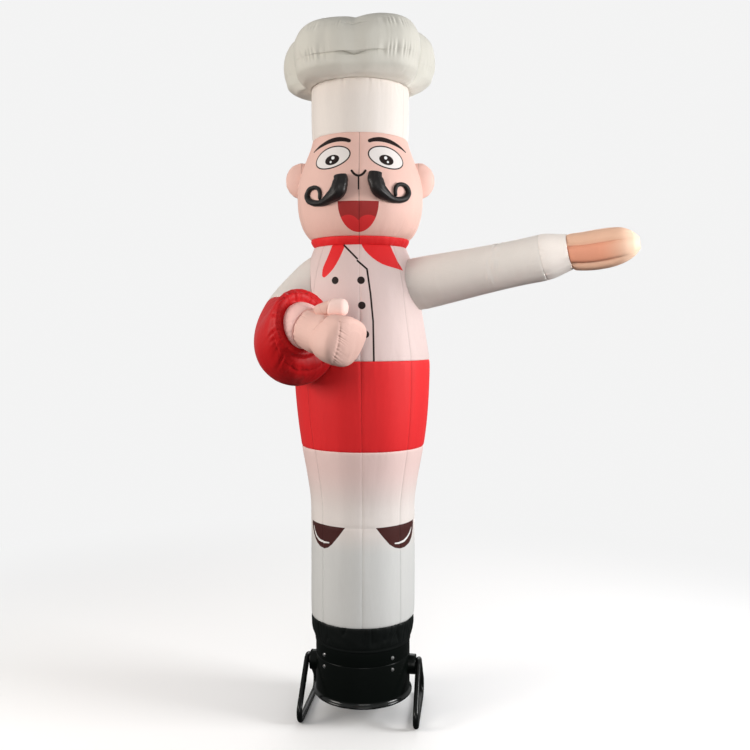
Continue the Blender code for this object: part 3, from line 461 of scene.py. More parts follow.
def smooth_through(rows, at):
    """Each column of the rows at one value of the first, on a smooth curve through them."""
    last = len(rows) - 2
    i = max(k for k in range(last + 1) if k == 0 or rows[k][0] <= at)

    def slope(k, column):
        low, high = max(k - 1, 0), min(k + 1, last + 1)
        return (rows[high][column] - rows[low][column]) / (rows[high][0] - rows[low][0])

    span = rows[i + 1][0] - rows[i][0]
    t = (at - rows[i][0]) / span
    found = []
    for column in range(1, len(rows[0])):
        a, b = rows[i][column], rows[i + 1][column]
        da, db = slope(i, column) * span, slope(i + 1, column) * span
        found.append(
            a + t * da + t * t * (3 * (b - a) - 2 * da - db) + t**3 * (2 * (a - b) + da + db)
        )
    return found


def spread(first, last, count):
    return [first + (last - first) * k / (count - 1) for k in range(count)]


def numbered(rows):
    return [(k, *row) for k, row in enumerate(rows)]


def stations(low, high, spacing):
    """Places from low to high, close together near both ends, where the seams are."""
    count = max(int((high - low - 2 * END_LENGTH) / spacing), 1) + 1
    inner = spread(low + END_LENGTH, high - END_LENGTH, count)
    return [low + e for e in END_STATIONS] + inner + [high - e for e in reversed(END_STATIONS)]


def curved(points, count):
    """More points on a smooth curve through a few."""
    rows = numbered(points)
    return [tuple(smooth_through(rows, at)) for at in spread(0.0, len(points) - 1.0, count)]


def wrapped(angle):
    return (angle + math.pi) % math.tau - math.pi


def bump_at(distance, width):
    return math.exp(-((distance / width) ** 2))


def clamped(value):
    return min(max(value, 0.0), 1.0)


def noise_at(x, y, z):
    return noise.noise(Vector((x, y, z)))


def waves(size, x, y, along, shift=0.0):
    """Noise with features of this size round and along a piece. x and y run round it."""
    around, length = size
    return noise_at(x / around, y / around, along / length + shift)


def round_at(angle, radius):
    return radius * math.sin(angle), -radius * math.cos(angle)


def at_trunk(angle, radius, height):
    return Vector((*round_at(angle, radius), height))


def trunk_radius(height):
    """The figure's own radius at any height, from the black cloth up to the crown's foot."""
    if height < NECK_SEAM:
        return smooth_through(TRUNK_OUTLINE, max(height, CUFF_FOOT))[0]
    if height < CHIN_SEAM:
        return smooth_through(SCARF_OUTLINE, height)[0]
    return smooth_through(HEAD_OUTLINE, min(height, BROW_SEAM))[0]


def held_off_the_trunk(point):
    """The point, or the nearest one off the trunk where it is inside."""
    radius = math.hypot(point.x, point.y)
    least = trunk_radius(point.z) + GAP
    if radius >= least or radius < MERGE:
        return point
    return Vector((point.x * least / radius, point.y * least / radius, point.z))


def from_line(point, start, end):
    """Distance from a point to the line between two others, all of two numbers."""
    run = (end[0] - start[0], end[1] - start[1])
    to = (point[0] - start[0], point[1] - start[1])
    share = clamped((to[0] * run[0] + to[1] * run[1]) / (run[0] ** 2 + run[1] ** 2))
    return math.hypot(to[0] - run[0] * share, to[1] - run[1] * share)


def creased(value, sharpness):
    """1 in a thin fold where the noise passes 0, falling to 0 between the folds."""
    return max(1.0 - abs(value) * sharpness, 0.0) ** 2


def relief(x, y, along, held, seed=0.0, billow=0.0018, streak=0.0009, seam=1.0):
    """How far the cloth stands out or is held in here, in metres.

    x and y run round the piece and along follows it. held lists, for each seam, the distance to it and
    how tightly it is gathered.
    """
    look = bpy.context.scene.air_dancer_cloth
    out = billow * waves(BILLOW_SIZE, x, y, along, seed)
    out += streak * waves(STREAK_SIZE, x, y, along, seed + 7.0)
    for distance, gather in held:
        hold = gather * math.exp(-distance / PUCKER_REACH)
        if hold > 0.02:
            fine = waves(FINE_PUCKER, x, y, along, seed + 13.0)
            broad = waves(BROAD_PUCKER, x, y, along, seed + 19.0)
            out += look.pucker * hold * (0.55 * fine + 0.5 * broad - 0.8 * creased(broad, 5.0))
        out -= seam * look.seam_depth * math.exp(-distance / SEAM_REACH)
    return out


def upright_seams(angle, radius, degrees, along):
    """How far the upright seams hold the cloth in, with the small pulls across them."""
    out = 0.0
    for place in degrees:
        off = abs(wrapped(angle - math.radians(place))) * radius
        if off < 0.05:
            pull = 0.0007 * noise_at(place, along / UPRIGHT_PULL, 3.0) + 0.0004
            out -= UPRIGHT_DEPTH * bump_at(off, UPRIGHT_WIDTH) + pull * math.exp(-off / UPRIGHT_REACH)
    return out


def linked(name, data):
    """A new object of the scene that holds this mesh, light or camera."""
    thing = bpy.data.objects.new(name, data)
    bpy.context.scene.collection.objects.link(thing)
    return thing


def mesh_of(name, shape, material):
    """A smooth mesh of this material from a shape, which is then gone."""
    mesh = bpy.data.meshes.new(name)
    shape.to_mesh(mesh)
    shape.free()
    mesh.shade_smooth()
    mesh.materials.append(material)
    return mesh


def finished(name, shape, material, slot, *nodes, fill=None, sharp=None):
    """fill, how much of its hull a soft piece fills, is not used, and sharp is the angle at which an edge
    stays sharp.
    """
    for vertex in shape.verts:
        share = clamped((vertex.co.z - LEAN_FROM) / (LEAN_TO - LEAN_FROM))
        vertex.co.x += LEAN * share * share * (3 - 2 * share)
        vertex.co += AXIS
    bmesh.ops.remove_doubles(shape, verts=shape.verts, dist=MERGE)
    bmesh.ops.dissolve_degenerate(shape, dist=MERGE, edges=shape.edges)
    bmesh.ops.recalc_face_normals(shape, faces=shape.faces)
    mesh = mesh_of(name, shape, material)
    if sharp:
        mesh.set_sharp_from_angle(angle=math.radians(sharp))
    piece = linked(name, mesh)
    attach(piece, ROOT)
    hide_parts(*nodes)


def dressed(node, shape, cloth, slot, fill=0.95, name=None):
    finished(f"dressed_{name or node}", shape, cloth, slot, node, fill=fill)


def skin(steps, rows, place, radius_of):
    """A closed shape from a grid. Its columns run round from the back, and its rows along the piece.

    place gives the point for an angle and a row, and radius_of the size of a row, for the map of the
    cloth. The first and last rows of a piece lie in its middle, so they close it.
    """
    shape = bmesh.new()
    last = len(rows) - 1
    bmesh.ops.create_grid(shape, x_segments=steps, y_segments=last, size=0.5)
    cloth_map = shape.loops.layers.uv.new(CLOTH_MAP)
    round_map = shape.loops.layers.uv.new(ROUND_MAP)
    where = {}
    for vertex in shape.verts:
        column, row = round((vertex.co.x + 0.5) * steps), round((vertex.co.y + 0.5) * last)
        where[vertex] = (math.tau * column / steps - math.pi, rows[row])
    for face in shape.faces:
        for loop in face.loops:
            angle, row = where[loop.vert]
            loop[cloth_map].uv = (angle * radius_of(row), row[0])
            loop[round_map].uv = (angle, row[0])
    for vertex, (angle, row) in where.items():
        vertex.co = place(wrapped(angle), row)
    bmesh.ops.remove_doubles(shape, verts=shape.verts, dist=MERGE)
    return shape


def closed_rows(places, run_in=RUN_IN):
    """Rows of a closed piece: its places with a share of 1, and an end at each side that runs in."""
    rows = [(places[0], share) for share in run_in]
    rows += [(place, 1.0) for place in places]
    return rows + [(places[-1], share) for share in reversed(run_in)]


def trunk_piece(outline, low, high, seams, gathers, seed, marks=()):
    """A piece of the trunk between two seams, which gathers holds in from below and from above."""
    look = bpy.context.scene.air_dancer_cloth
    rows = []
    for place, share in closed_rows(stations(low + GAP / 2, high - GAP / 2, look.spacing)):
        rows.append((place, smooth_through(outline, place)[0], share))
    widest = max(radius for _, radius, _ in rows)

    def cloth(angle, row):
        height, radius, share = row
        x, y = round_at(angle, radius)
        held = [(height - low, gathers[0]), (high - height, gathers[1])]
        out = relief(x, y, height, held, seed)
        out += upright_seams(angle, radius, seams, height)
        for mark in marks:
            out += mark(angle, height, radius)
        return at_trunk(angle, (radius + out) * share, height)

    steps = int(math.tau * widest / look.spacing)
    return skin(steps, rows, cloth, lambda row: row[1])


def way_to(turn, dip):
    turn, dip = math.radians(turn), math.radians(dip)
    return Vector((math.sin(turn) * math.cos(dip), -math.cos(turn) * math.cos(dip), -math.sin(dip)))


def section_axes(way, facing):
    front = (facing - way * facing.dot(way)).normalized()
    return front, front.cross(way).normalized()


def limb(section, first, last, length, radius, relief_of, fineness=1.0, start_of=None,
         off_trunk=True, places=(), dome=0.0, press_of=None, run_in=RUN_IN):
    """A closed limb.

    section gives, for a place on it, its centre, way, facing, half height, half depth and squareness.
    start_of moves the first row of each line along the limb, places are more places along it for rows,
    dome is how far its end swells, and press_of moves a point of its cloth.
    """
    spacing = bpy.context.scene.air_dancer_cloth.spacing * fineness
    share_of = [at / length for at in sorted({*stations(0.0, length, spacing), *places})]
    rows = [(share * length, share, inward) for share, inward in closed_rows(share_of, run_in)]
    girth = math.tau * radius
    steps = int(girth / spacing)
    starts = {}

    def raw(angle, at, out=0.0):
        centre, way, facing, half_height, half_depth, squareness = section(at)
        front, up = section_axes(way, facing)
        across, rise = math.cos(angle), math.sin(angle)
        size = (abs(across) ** squareness + abs(rise) ** squareness) ** (-1.0 / squareness)
        depth, height = half_depth * size * across, half_height * size * rise
        scale = 1.0 + out / max(math.hypot(depth, height), 0.01)
        return centre + (front * depth + up * height) * scale

    def begin_of(angle):
        key = round(angle, 5)
        if key not in starts:
            starts[key] = start_of(lambda at: raw(angle, at), first, last) if start_of else first
        return starts[key]

    def clear(point):
        return held_off_the_trunk(point) if off_trunk else point

    ring = [math.tau * k / steps - math.pi for k in range(steps)]
    poles = {
        0.0: clear(sum((clear(raw(angle, begin_of(angle))) for angle in ring), Vector()) / steps),
        1.0: clear(sum((clear(raw(angle, last)) for angle in ring), Vector()) / steps),
    }

    def place(angle, row):
        along, share, inward = row
        begin = begin_of(angle)
        around = girth / math.tau
        out = relief_of(angle, around * math.cos(angle), around * math.sin(angle), along)
        at = begin + (last - begin) * share
        point = clear(raw(angle, at, out))
        if inward < 1.0:
            swell = section(last)[1] * dome * share * (1.0 - inward**2)
            point = poles[round(share)].lerp(point, inward) + swell
        return clear(point + press_of(point)) if press_of else clear(point)

    return skin(steps, rows, place, lambda row: girth / math.tau)


def start_on_the_trunk(line, first, last):
    """Where a line along a limb first comes out of the trunk, or its end if it never does."""
    def outside(at):
        point = line(at)
        return math.hypot(point.x, point.y) > trunk_radius(point.z) + GAP

    places = spread(first, last, START_STEPS)
    if outside(first):
        return first
    for low, high in zip(places, places[1:]):
        if outside(high):
            for _ in range(START_HALVINGS):
                middle = (low + high) / 2
                low, high = (low, middle) if outside(middle) else (middle, high)
            return high
    return last


# ---------------------------------------------------------------- materials


class Value:
    """What a node puts out, so that sums in a shader read like sums of numbers."""

    def __init__(self, socket):
        self.socket, self.tree = socket, socket.id_data

    def __add__(self, other):
        return maths("ADD", self, other)

    def __sub__(self, other):
        return maths("SUBTRACT", self, other)

    def __rsub__(self, other):
        return maths("SUBTRACT", other, self)

    def __mul__(self, other):
        return maths("MULTIPLY", self, other)

    def __truediv__(self, other):
        return maths("DIVIDE", self, other)

    def __abs__(self):
        return maths("ABSOLUTE", self)


def feed(socket, value):
    """Gives a socket what a node puts out, or a plain value."""
    if isinstance(value, Value):
        value.tree.links.new(value.socket, socket)
    else:
        socket.default_value = value


def made(tree, kind, inputs=None, output=0, **settings):
    """What a new node puts out, from its settings and what goes into it."""
    node = tree.nodes.new("ShaderNode" + kind)
    for name, setting in settings.items():
        setattr(node, name, setting)
    for name, value in (inputs or {}).items():
        feed(node.inputs[name], value)
    return Value(node.outputs[output])


def maths(operation, *values, clamp=False):
    tree = next(value.tree for value in values if isinstance(value, Value))
    return made(tree, "Math", dict(enumerate(values)), operation=operation, use_clamp=clamp)


def mixed(share, first, second):
    """A share of the second colour over the first."""
    return made(share.tree, "Mix", {0: share, 6: first, 7: second}, output=2, data_type="RGBA")


def ramped(value, low, high, to_low=0.0, to_high=1.0):
    """The value between low and high, spread smoothly to the new range."""
    ends = {"Value": value, "From Min": low, "From Max": high, "To Min": to_low, "To Max": to_high}
    return made(value.tree, "MapRange", ends, interpolation_type="SMOOTHSTEP")


def parted(vector):
    node = vector.tree.nodes.new("ShaderNodeSeparateXYZ")
    feed(node.inputs[0], vector)
    return [Value(output) for output in node.outputs]


def noisy(vector, size, detail=2.0, roughness=0.5, distortion=0.0, stretch=(1.0, 1.0, 1.0)):
    """Noise with features of this size in metres, drawn out by stretch."""
    scale = [1.0 / (size * s) for s in stretch]
    look = {"Scale": 1.0, "Detail": detail, "Roughness": roughness, "Distortion": distortion}
    look["Vector"] = made(vector.tree, "Mapping", {"Vector": vector, "Scale": scale})
    return made(vector.tree, "TexNoise", look)


def hypotenuse(x, y):
    return maths("SQRT", x * x + y * y)


def soft_edge(inside, edge):
    """A mask from a distance that is above 0 inside it, with an edge this wide."""
    return maths("ADD", inside / edge, 0.5, clamp=True)


def weave(cloth):
    """Plain weave: threads that pass over and under each other, with painted light on the raised threads and
    a tone that varies along them.
    """
    x, y, _ = parted(cloth)
    warp, weft = [maths("SINE", value / THREAD * math.pi) for value in (x, y)]
    over = maths("GREATER_THAN", warp * weft, 0.0)
    height = abs(warp) * over + abs(weft) * (1.0 - over)
    slub = noisy(cloth, 0.004, detail=3.0, stretch=(1.0, 9.0, 1.0))
    return height, height * 0.05 + slub * 0.05 + 0.925


def creases(place, amount):
    """Soft creases that the air leaves in the cloth, mostly along the piece, with painted shade that darkens
    their hollows and lightens their ridges.
    """
    broad = noisy(place, 0.1, detail=2.0, distortion=0.4, stretch=(1.0, 1.0, 4.5))
    fine = noisy(place, 0.03, detail=1.0, distortion=0.3, stretch=(1.0, 1.0, 2.2))
    return (broad * 0.0045 + fine * 0.0005) * amount, broad * 0.1 + 0.95


def fading(place):
    """A slow change of colour over the piece."""
    return [noisy(place, 0.35, detail=4.0, roughness=0.6) * 0.06 + 0.97]


def seam_line(round_map, angle, radius):
    """An upright seam at one angle round the piece, and the row of stitches at each side of it."""
    turn, along, _ = parted(round_map)
    away = abs((turn - angle) * radius)
    line = ramped(away, 0.0004, 0.0032, 1.0, 0.0)
    row = ramped(abs(away - STITCH_ASIDE), 0.0004, 0.0011, 1.0, 0.0)
    dash = maths("SINE", along * (math.tau / STITCH_PITCH))
    return line, row * ramped(dash, -0.3, 0.3)


def ellipse(cloth, across, height, half_width, half_height, turn, edge):
    x, y, _ = parted(cloth)
    x, y = x - across, y - height
    cosine, sine = maths("COSINE", turn), maths("SINE", turn)
    away = hypotenuse((x * cosine + y * sine) / half_width, (y * cosine - x * sine) / half_height)
    return [soft_edge(1.0 - away, edge / half_height)]


def stroke(cloth, from_across, from_height, from_half, to_across, to_height, to_half, edge):
    """A painted line between two points, which may widen or narrow on its way."""
    x, y, _ = parted(cloth)
    run_x, run_y = to_across - from_across, to_height - from_height
    x, y = x - from_across, y - from_height
    share = maths("DIVIDE", x * run_x + y * run_y, run_x * run_x + run_y * run_y, clamp=True)
    half = (to_half - from_half) * share + from_half
    return [soft_edge(half - hypotenuse(x - run_x * share, y - run_y * share), edge)]


def left_side(cloth, from_across, from_height, to_across, to_height, edge):
    """Everything to the left of a line from one point to another."""
    x, y, _ = parted(cloth)
    run_x, run_y = to_across - from_across, to_height - from_height
    x, y = x - from_across, y - from_height
    return [soft_edge((run_x * y - run_y * x) / hypotenuse(run_x, run_y), edge)]


# The printed line and side also draw the masks of painted light and painted shade.
GROUPS = {  # what works it out, from which inputs, and what it puts out
    "Weave": (weave, "cloth", "Height Shade"),
    "Creases": (creases, "place amount", "Height Shade"),
    "Fading": (fading, "place", "Shade"),
    "Upright seam": (seam_line, "round_map angle radius", "Line Stitches"),
    "Printed ellipse": (ellipse, "cloth across height half_width half_height turn edge", "Mask"),
    "Print and painted shade line": (
        stroke, "cloth from_across from_height from_half to_across to_height to_half edge", "Mask"
    ),
    "Print and painted light side": (left_side, "cloth from_across from_height to_across to_height edge", "Mask"),
}
VECTOR_INPUTS = ("cloth", "place", "round_map")


def label_of(name):
    return name.replace("_", " ").capitalize()


def group(name):
    """A shared node group, made when it is first asked for."""
    if name in bpy.data.node_groups:
        return bpy.data.node_groups[name]
    work_out, inputs, outputs = GROUPS[name]
    tree = bpy.data.node_groups.new(name, "ShaderNodeTree")
    for key in inputs.split():
        kind = "NodeSocketVector" if key in VECTOR_INPUTS else "NodeSocketFloat"
        tree.interface.new_socket(name=label_of(key), in_out="INPUT", socket_type=kind)
    for label in outputs.split():
        tree.interface.new_socket(name=label, in_out="OUTPUT", socket_type="NodeSocketFloat")
    start, end = tree.nodes.new("NodeGroupInput"), tree.nodes.new("NodeGroupOutput")
    given = [Value(start.outputs[label_of(key)]) for key in inputs.split()]
    for label, value in zip(outputs.split(), work_out(*given)):
        feed(end.inputs[label], value)
    return tree


def placed(tree, name, **values):
    """What one use of a shared group puts out, from its own values."""
    node = tree.nodes.new("ShaderNodeGroup")
    node.node_tree = group(name)
    for key, value in values.items():
        feed(node.inputs[label_of(key)], value)
    return [Value(output) for output in node.outputs]


def joined(masks, operation):
    found, *others = masks
    for mask in others:
        found = maths(operation, found, mask)
    return found


def any_of(*masks):
    return joined(masks, "MAXIMUM")


def both(*masks):
    return joined(masks, "MINIMUM")


class PrintAndShadeMasks:
    """Draws masks of prints, and of painted light and painted shade, on one piece's map of the cloth."""

    def __init__(self, tree):
        self.tree, self.cloth, self.place = tree, map_vector(tree, CLOTH_MAP), object_vector(tree)

    def drawn(self, name, **values):
        return placed(self.tree, name, cloth=self.cloth, **values)[0]

    def ellipse(self, across, height, half_width, half_height, turn=0.0, edge=0.001):
        return self.drawn(
            "Printed ellipse", across=across, height=height, half_width=half_width,
            half_height=half_height, turn=math.radians(turn), edge=edge,
        )

    def line(self, points, edge=0.001):
        """A line through points, each with its half width."""
        return any_of(*[
            self.drawn(
                "Print and painted shade line", from_across=x0, from_height=y0, from_half=half0, to_across=x1,
                to_height=y1, to_half=half1, edge=edge,
            )
            for (x0, y0, half0), (x1, y1, half1) in zip(points, points[1:])
        ])

    def left_of(self, start, end, edge=0.001):
        return self.drawn(
            "Print and painted light side", from_across=start[0], from_height=start[1], to_across=end[0],
            to_height=end[1], edge=edge,
        )

    def left_of_each(self, points, edge=0.001):
        """The left side of each run of a line through points."""
        return [self.left_of(start, end, edge) for start, end in zip(points, points[1:])]

    def below(self, height, edge=0.001):
        return self.left_of((1.0, height), (-1.0, height), edge)

    def above(self, height, edge=0.001):
        return self.left_of((-1.0, height), (1.0, height), edge)


def colour_of(name, group_name="air_dancer_cloth"):
    return (*getattr(getattr(bpy.context.scene, group_name), name), 1.0)


def map_vector(tree, name):
    return made(tree, "UVMap", uv_map=name)


def object_vector(tree):
    return made(tree, "TexCoord", output="Object")


def new_shader(name):
    material = bpy.data.materials.new(name)
    material.use_nodes = True
    return material, material.node_tree, material.node_tree.nodes["Principled BSDF"]


def finish_shader(shader, colour, shade, roughness, height, inputs):
    """Feeds a shader its colour, made lighter or darker by the shade, and the other inputs."""
    tree = shader.id_data
    base = colour if isinstance(colour, Value) else colour[:3]
    inputs = {
        "Base Color": made(tree, "VectorMath", {0: base, "Scale": shade}, operation="SCALE"),
        "Roughness": roughness,
        "Normal": made(tree, "Bump", {"Distance": 1.0, "Height": height}),
        **inputs,
    }
    for name, value in inputs.items():
        feed(shader.inputs[name], value)


def cloth_material(name, colour, seams=(), seam_dark=0.55, front_dark=None, rough=0.56, sheen=0.02,
                   creased_by=1.0, radius=0.23, prints_and_painted_light=None, shine=0.16):
    """Thin, slightly glossy woven cloth, full of air. Its prints and its painted light and shade are drawn
    over its colour by a given function.
    """
    if name in bpy.data.materials:
        return bpy.data.materials[name]
    material, tree, shader = new_shader(name)
    draw, base = PrintAndShadeMasks(tree), colour_of(colour)
    around = map_vector(tree, ROUND_MAP)
    weave_height, weave_shade = placed(tree, "Weave", cloth=draw.cloth)
    crease_height, crease_shade = placed(tree, "Creases", place=draw.place, amount=creased_by)
    faded, = placed(tree, "Fading", place=draw.place)
    shade = weave_shade * crease_shade * faded
    height = weave_height * WEAVE_RELIEF + crease_height
    roughness = weave_shade * -0.3 + (rough + 0.29)
    if prints_and_painted_light:
        # For the shade functions the ink mask is their painted light and shade, which also makes the cloth a
        # little shinier.
        base, ink = prints_and_painted_light(draw, base)
        roughness = ink * -0.08 + roughness
    for degrees in seams:
        line, stitches = placed(
            tree, "Upright seam", round_map=around, angle=math.radians(degrees), radius=radius
        )
        kept = front_dark if front_dark and degrees == 0.0 else seam_dark
        shade = shade * (1.0 - line * (1.0 - kept))
        height = height + line * -0.0007 + stitches * 0.00025
    finish_shader(shader, base, shade, roughness, height, {
        "Specular IOR Level": shine, "Sheen Weight": sheen, "Sheen Roughness": 0.4,
    })
    return material


def face_print(draw, base):
    ink, eyes, pupils, glints = [], [], [], []
    for side_of in (-1, 1):
        eye = dict(EYE, across=side_of * EYE["across"], turn=-side_of * EYE["turn"])
        inner = {size: eye[size] - EYE_LINE for size in ("half_width", "half_height")}
        ink.append(draw.ellipse(**eye))
        eyes.append(draw.ellipse(**{**eye, **inner}))
        pupil = dict(PUPIL, across=side_of * PUPIL["across"], turn=-side_of * PUPIL["turn"])
        pupils.append(draw.ellipse(**pupil))
        for across, up, size in GLINTS:
            glints.append(
                draw.ellipse(side_of * (PUPIL["across"] + across), PUPIL["height"] + up, size, size)
            )
        ink.append(draw.line([(side_of * x, y, half) for x, y, half in curved(BROW, 13)]))
    ink += [draw.line(curved(NOSE, 13)), draw.line(NOSE_LINE)]
    across, top, half = MOUTH["across"], MOUTH["height"], MOUTH["half_width"]
    mouth = both(draw.ellipse(**MOUTH), draw.below(top))
    humps = [
        draw.ellipse(across + side_of * half / 2, TONGUE_TOP - 0.05, half * 0.62, 0.05 + TONGUE_DIP)
        for side_of in (-1, 1)
    ]
    tongue = both(mouth, any_of(draw.below(TONGUE_TOP - 0.03), *humps))
    black = any_of(*ink)
    for mask, tone in (
        (black, colour_of("ink")),
        (any_of(*eyes), EYE_WHITE),
        (any_of(*pupils), colour_of("ink")),
        (any_of(*glints), GLINT_WHITE),
        (mouth, colour_of("mouth")),
        (tongue, colour_of("tongue")),
    ):
        base = mixed(mask, base, tone)
    return base, any_of(black, mouth)


def jacket_print(draw, base):
    lower, upper = RIGHT_TAIL
    right = both(both(*draw.left_of_each(curved(lower, 11))), any_of(*draw.left_of_each(upper)))
    tails = any_of(draw.line(curved(LEFT_TAIL, 11)), right)
    lines = [draw.line([(*point, PLACKET_HALF) for point in run]) for run in PLACKET]
    lines += [draw.ellipse(x, y, BUTTON_RADIUS, BUTTON_RADIUS) for x, y in BUTTONS]
    black = any_of(*lines)
    colour = mixed(black, mixed(tails, base, colour_of("red")), colour_of("ink"))
    return colour, any_of(black, tails)


def trousers_print(draw, base):
    """The white turns bluer downwards, with a seam at the knee and two toes that hang from it."""
    toes = [both(*draw.left_of_each(corners)) for corners, _ in TOES]
    shine = any_of(*[draw.line(points) for _, points in TOES])
    toe = both(any_of(*toes), draw.below(KNEE_SEAM))
    _, height, _ = parted(draw.cloth)
    seam = draw.line([(-1.0, KNEE_SEAM, 0.001), (1.0, KNEE_SEAM, 0.001)], edge=0.002)
    for mask, tone in (
        (ramped(height, TINT_TO, TINT_FROM, 1.0, 0.0), colour_of("knee")),
        (ramped(height, TINT_LOW, KNEE_SEAM, 1.0, 0.0), colour_of("shin")),
        (seam * 0.16, KNEE_LINE),
        (toe, colour_of("toe")),
        (shine, TOE_SHINE),
    ):
        base = mixed(mask, base, tone)
    return base, toe


def glossy_material(name, colour, rough, grain, metallic=0.0, shine=0.3, polished_below=None):
    """Moulded plastic, paint or steel, with a fine grain, soft waviness and scuffs.

    Below polished_below, in metres, it is coated and shines more.
    """
    if name in bpy.data.materials:
        return bpy.data.materials[name]
    material, tree, shader = new_shader(name)
    place = object_vector(tree)
    faded, = placed(tree, "Fading", place=place)
    scuff = noisy(place, 0.012, detail=5.0, roughness=0.7, stretch=(1.0, 1.0, 0.25))
    fine = noisy(place, grain, detail=4.0, roughness=0.6)
    height = noisy(place, 0.05) * 0.0006 + fine * 0.00004
    inputs = {"Metallic": metallic, "Specular IOR Level": shine}
    if polished_below:
        _, _, up = parted(place)
        inputs["Coat Weight"] = ramped(up, polished_below, polished_below + 0.012, 0.6, 0.0)
        inputs["Coat Roughness"] = 0.12
    finish_shader(
        shader, colour_of(colour, "air_dancer_blower"), faded, scuff * 0.22 + (rough - 0.11), height, inputs
    )
    return material


# ---------------------------------------------------------------- pieces


def trunk_part(node, slot, outline, ends, seams, gathers, seed, cloth, marks=(), name=None):
    """Makes the piece of the trunk that lies between the heights of its two ends."""
    shape = trunk_piece(outline, *ends, seams, gathers, seed, marks)
    dressed(node, shape, cloth, slot, name=name)


class AIRDANCER_OT_trunk(bpy.types.Operator):
    """Makes the trousers, the sash, the jacket and the scarf"""

    bl_idname = "airdancer.trunk"
    bl_label = "Trunk"

    def execute(self, context):
        def knee(angle, height, radius):
            """The seam under which the toes hang: it runs only across the front."""
            return -0.0011 * clamped((1.45 - abs(angle)) / 0.25) * bump_at(height - KNEE_SEAM, 0.005)

        def wrinkled_knee(angle, height, radius):
            hold = math.exp(-abs(height - KNEE_SEAM) / 0.05) * 0.0016
            return hold * noise_at(angle * 2.2, height / 0.035, 5.0)

        trunk_part(
            "trousers", "white_cloth", TRUNK_OUTLINE, (BOOT_SEAM, WAIST_SEAM),
            LEG_SEAMS, (0.55, 0.45), 0.0, cloth_material(
                "trousers_weave", "thigh", LEG_SEAMS, prints_and_painted_light=trousers_print, seam_dark=0.86, front_dark=0.93
            ), (knee, wrinkled_knee),
        )
        trunk_part(
            "waist_sash", "red_cloth", TRUNK_OUTLINE, (WAIST_SEAM, CHEST_SEAM),
            FIGURE_SEAMS, (0.45, 0.4), 0.0,
            cloth_material("sash_weave", "red", FIGURE_SEAMS, radius=0.29, seam_dark=0.78), name="sash",
        )
        trunk_part(
            "jacket", "white_cloth", TRUNK_OUTLINE, (CHEST_SEAM, NECK_SEAM),
            FIGURE_SEAMS, (0.4, 0.8), 0.0, cloth_material(
                "jacket_weave", "jacket", FIGURE_SEAMS, radius=0.27, prints_and_painted_light=jacket_print, seam_dark=0.86
            ),
        )
        trunk_part(
            "neck_scarf", "red_cloth", SCARF_OUTLINE, (NECK_SEAM, CHIN_SEAM),
            SCARF_SEAMS, (0.9, 0.6), 2.0,
            cloth_material("scarf_weave", "red", (0.0,), radius=0.21, seam_dark=0.6), name="scarf",
        )
        return {"FINISHED"}


class AIRDANCER_OT_head(bpy.types.Operator):
    """Makes the head with its printed face, and the two ears"""

    bl_idname = "airdancer.head"
    bl_label = "Head and ears"

    def execute(self, context):
        trunk_part(
            "head", "skin_cloth", HEAD_OUTLINE, (CHIN_SEAM, BROW_SEAM), HEAD_SEAMS,
            (0.6, 0.45), 4.0, cloth_material(
                "face_weave", "skin", HEAD_SEAMS, prints_and_painted_light=face_print, seam_dark=0.88, front_dark=0.62
            ),
        )
        material = cloth_material("ear_weave", "skin", (0.0,), radius=0.09, seam_dark=0.7)
        for side_of, node in ((-1, "ear_left"), (1, "ear_right")):
            dressed(node, self.ear(side_of), material, "skin_cloth", 0.9)
        return {"FINISHED"}

    def ear(self, side_of):
        """Two panels sewn together round their rim, full of air, and sewn to the head."""
        def cloth(angle, row):
            lift = row[0]
            level = math.cos(lift)
            around = Vector((math.sin(angle) * level, math.sin(lift), math.cos(angle) * level))
            rim = abs(lift)
            pull = noise_at(angle * 5.0, lift * 1.5, side_of * 4.0)
            out = 1.0 - 0.045 * bump_at(rim, 0.09) + 0.03 * pull * math.exp(-rim / 0.3)
            out += 0.018 * noise.noise(around * 1.7 + Vector((side_of * 3.0, 0.0, 0.0)))
            return held_off_the_trunk(Vector((
                side_of * EAR_OUT + EAR_HALF.x * around.x * out,
                EAR_HALF.y * around.y * out,
                EAR_HEIGHT + EAR_HALF.z * around.z * out,
            )))

        rows = [(lift,) for lift in spread(-math.pi / 2, math.pi / 2, 61)]
        return skin(EAR_STEPS, rows, cloth, lambda row: EAR_ROUND * max(math.cos(row[0]), 0.05))


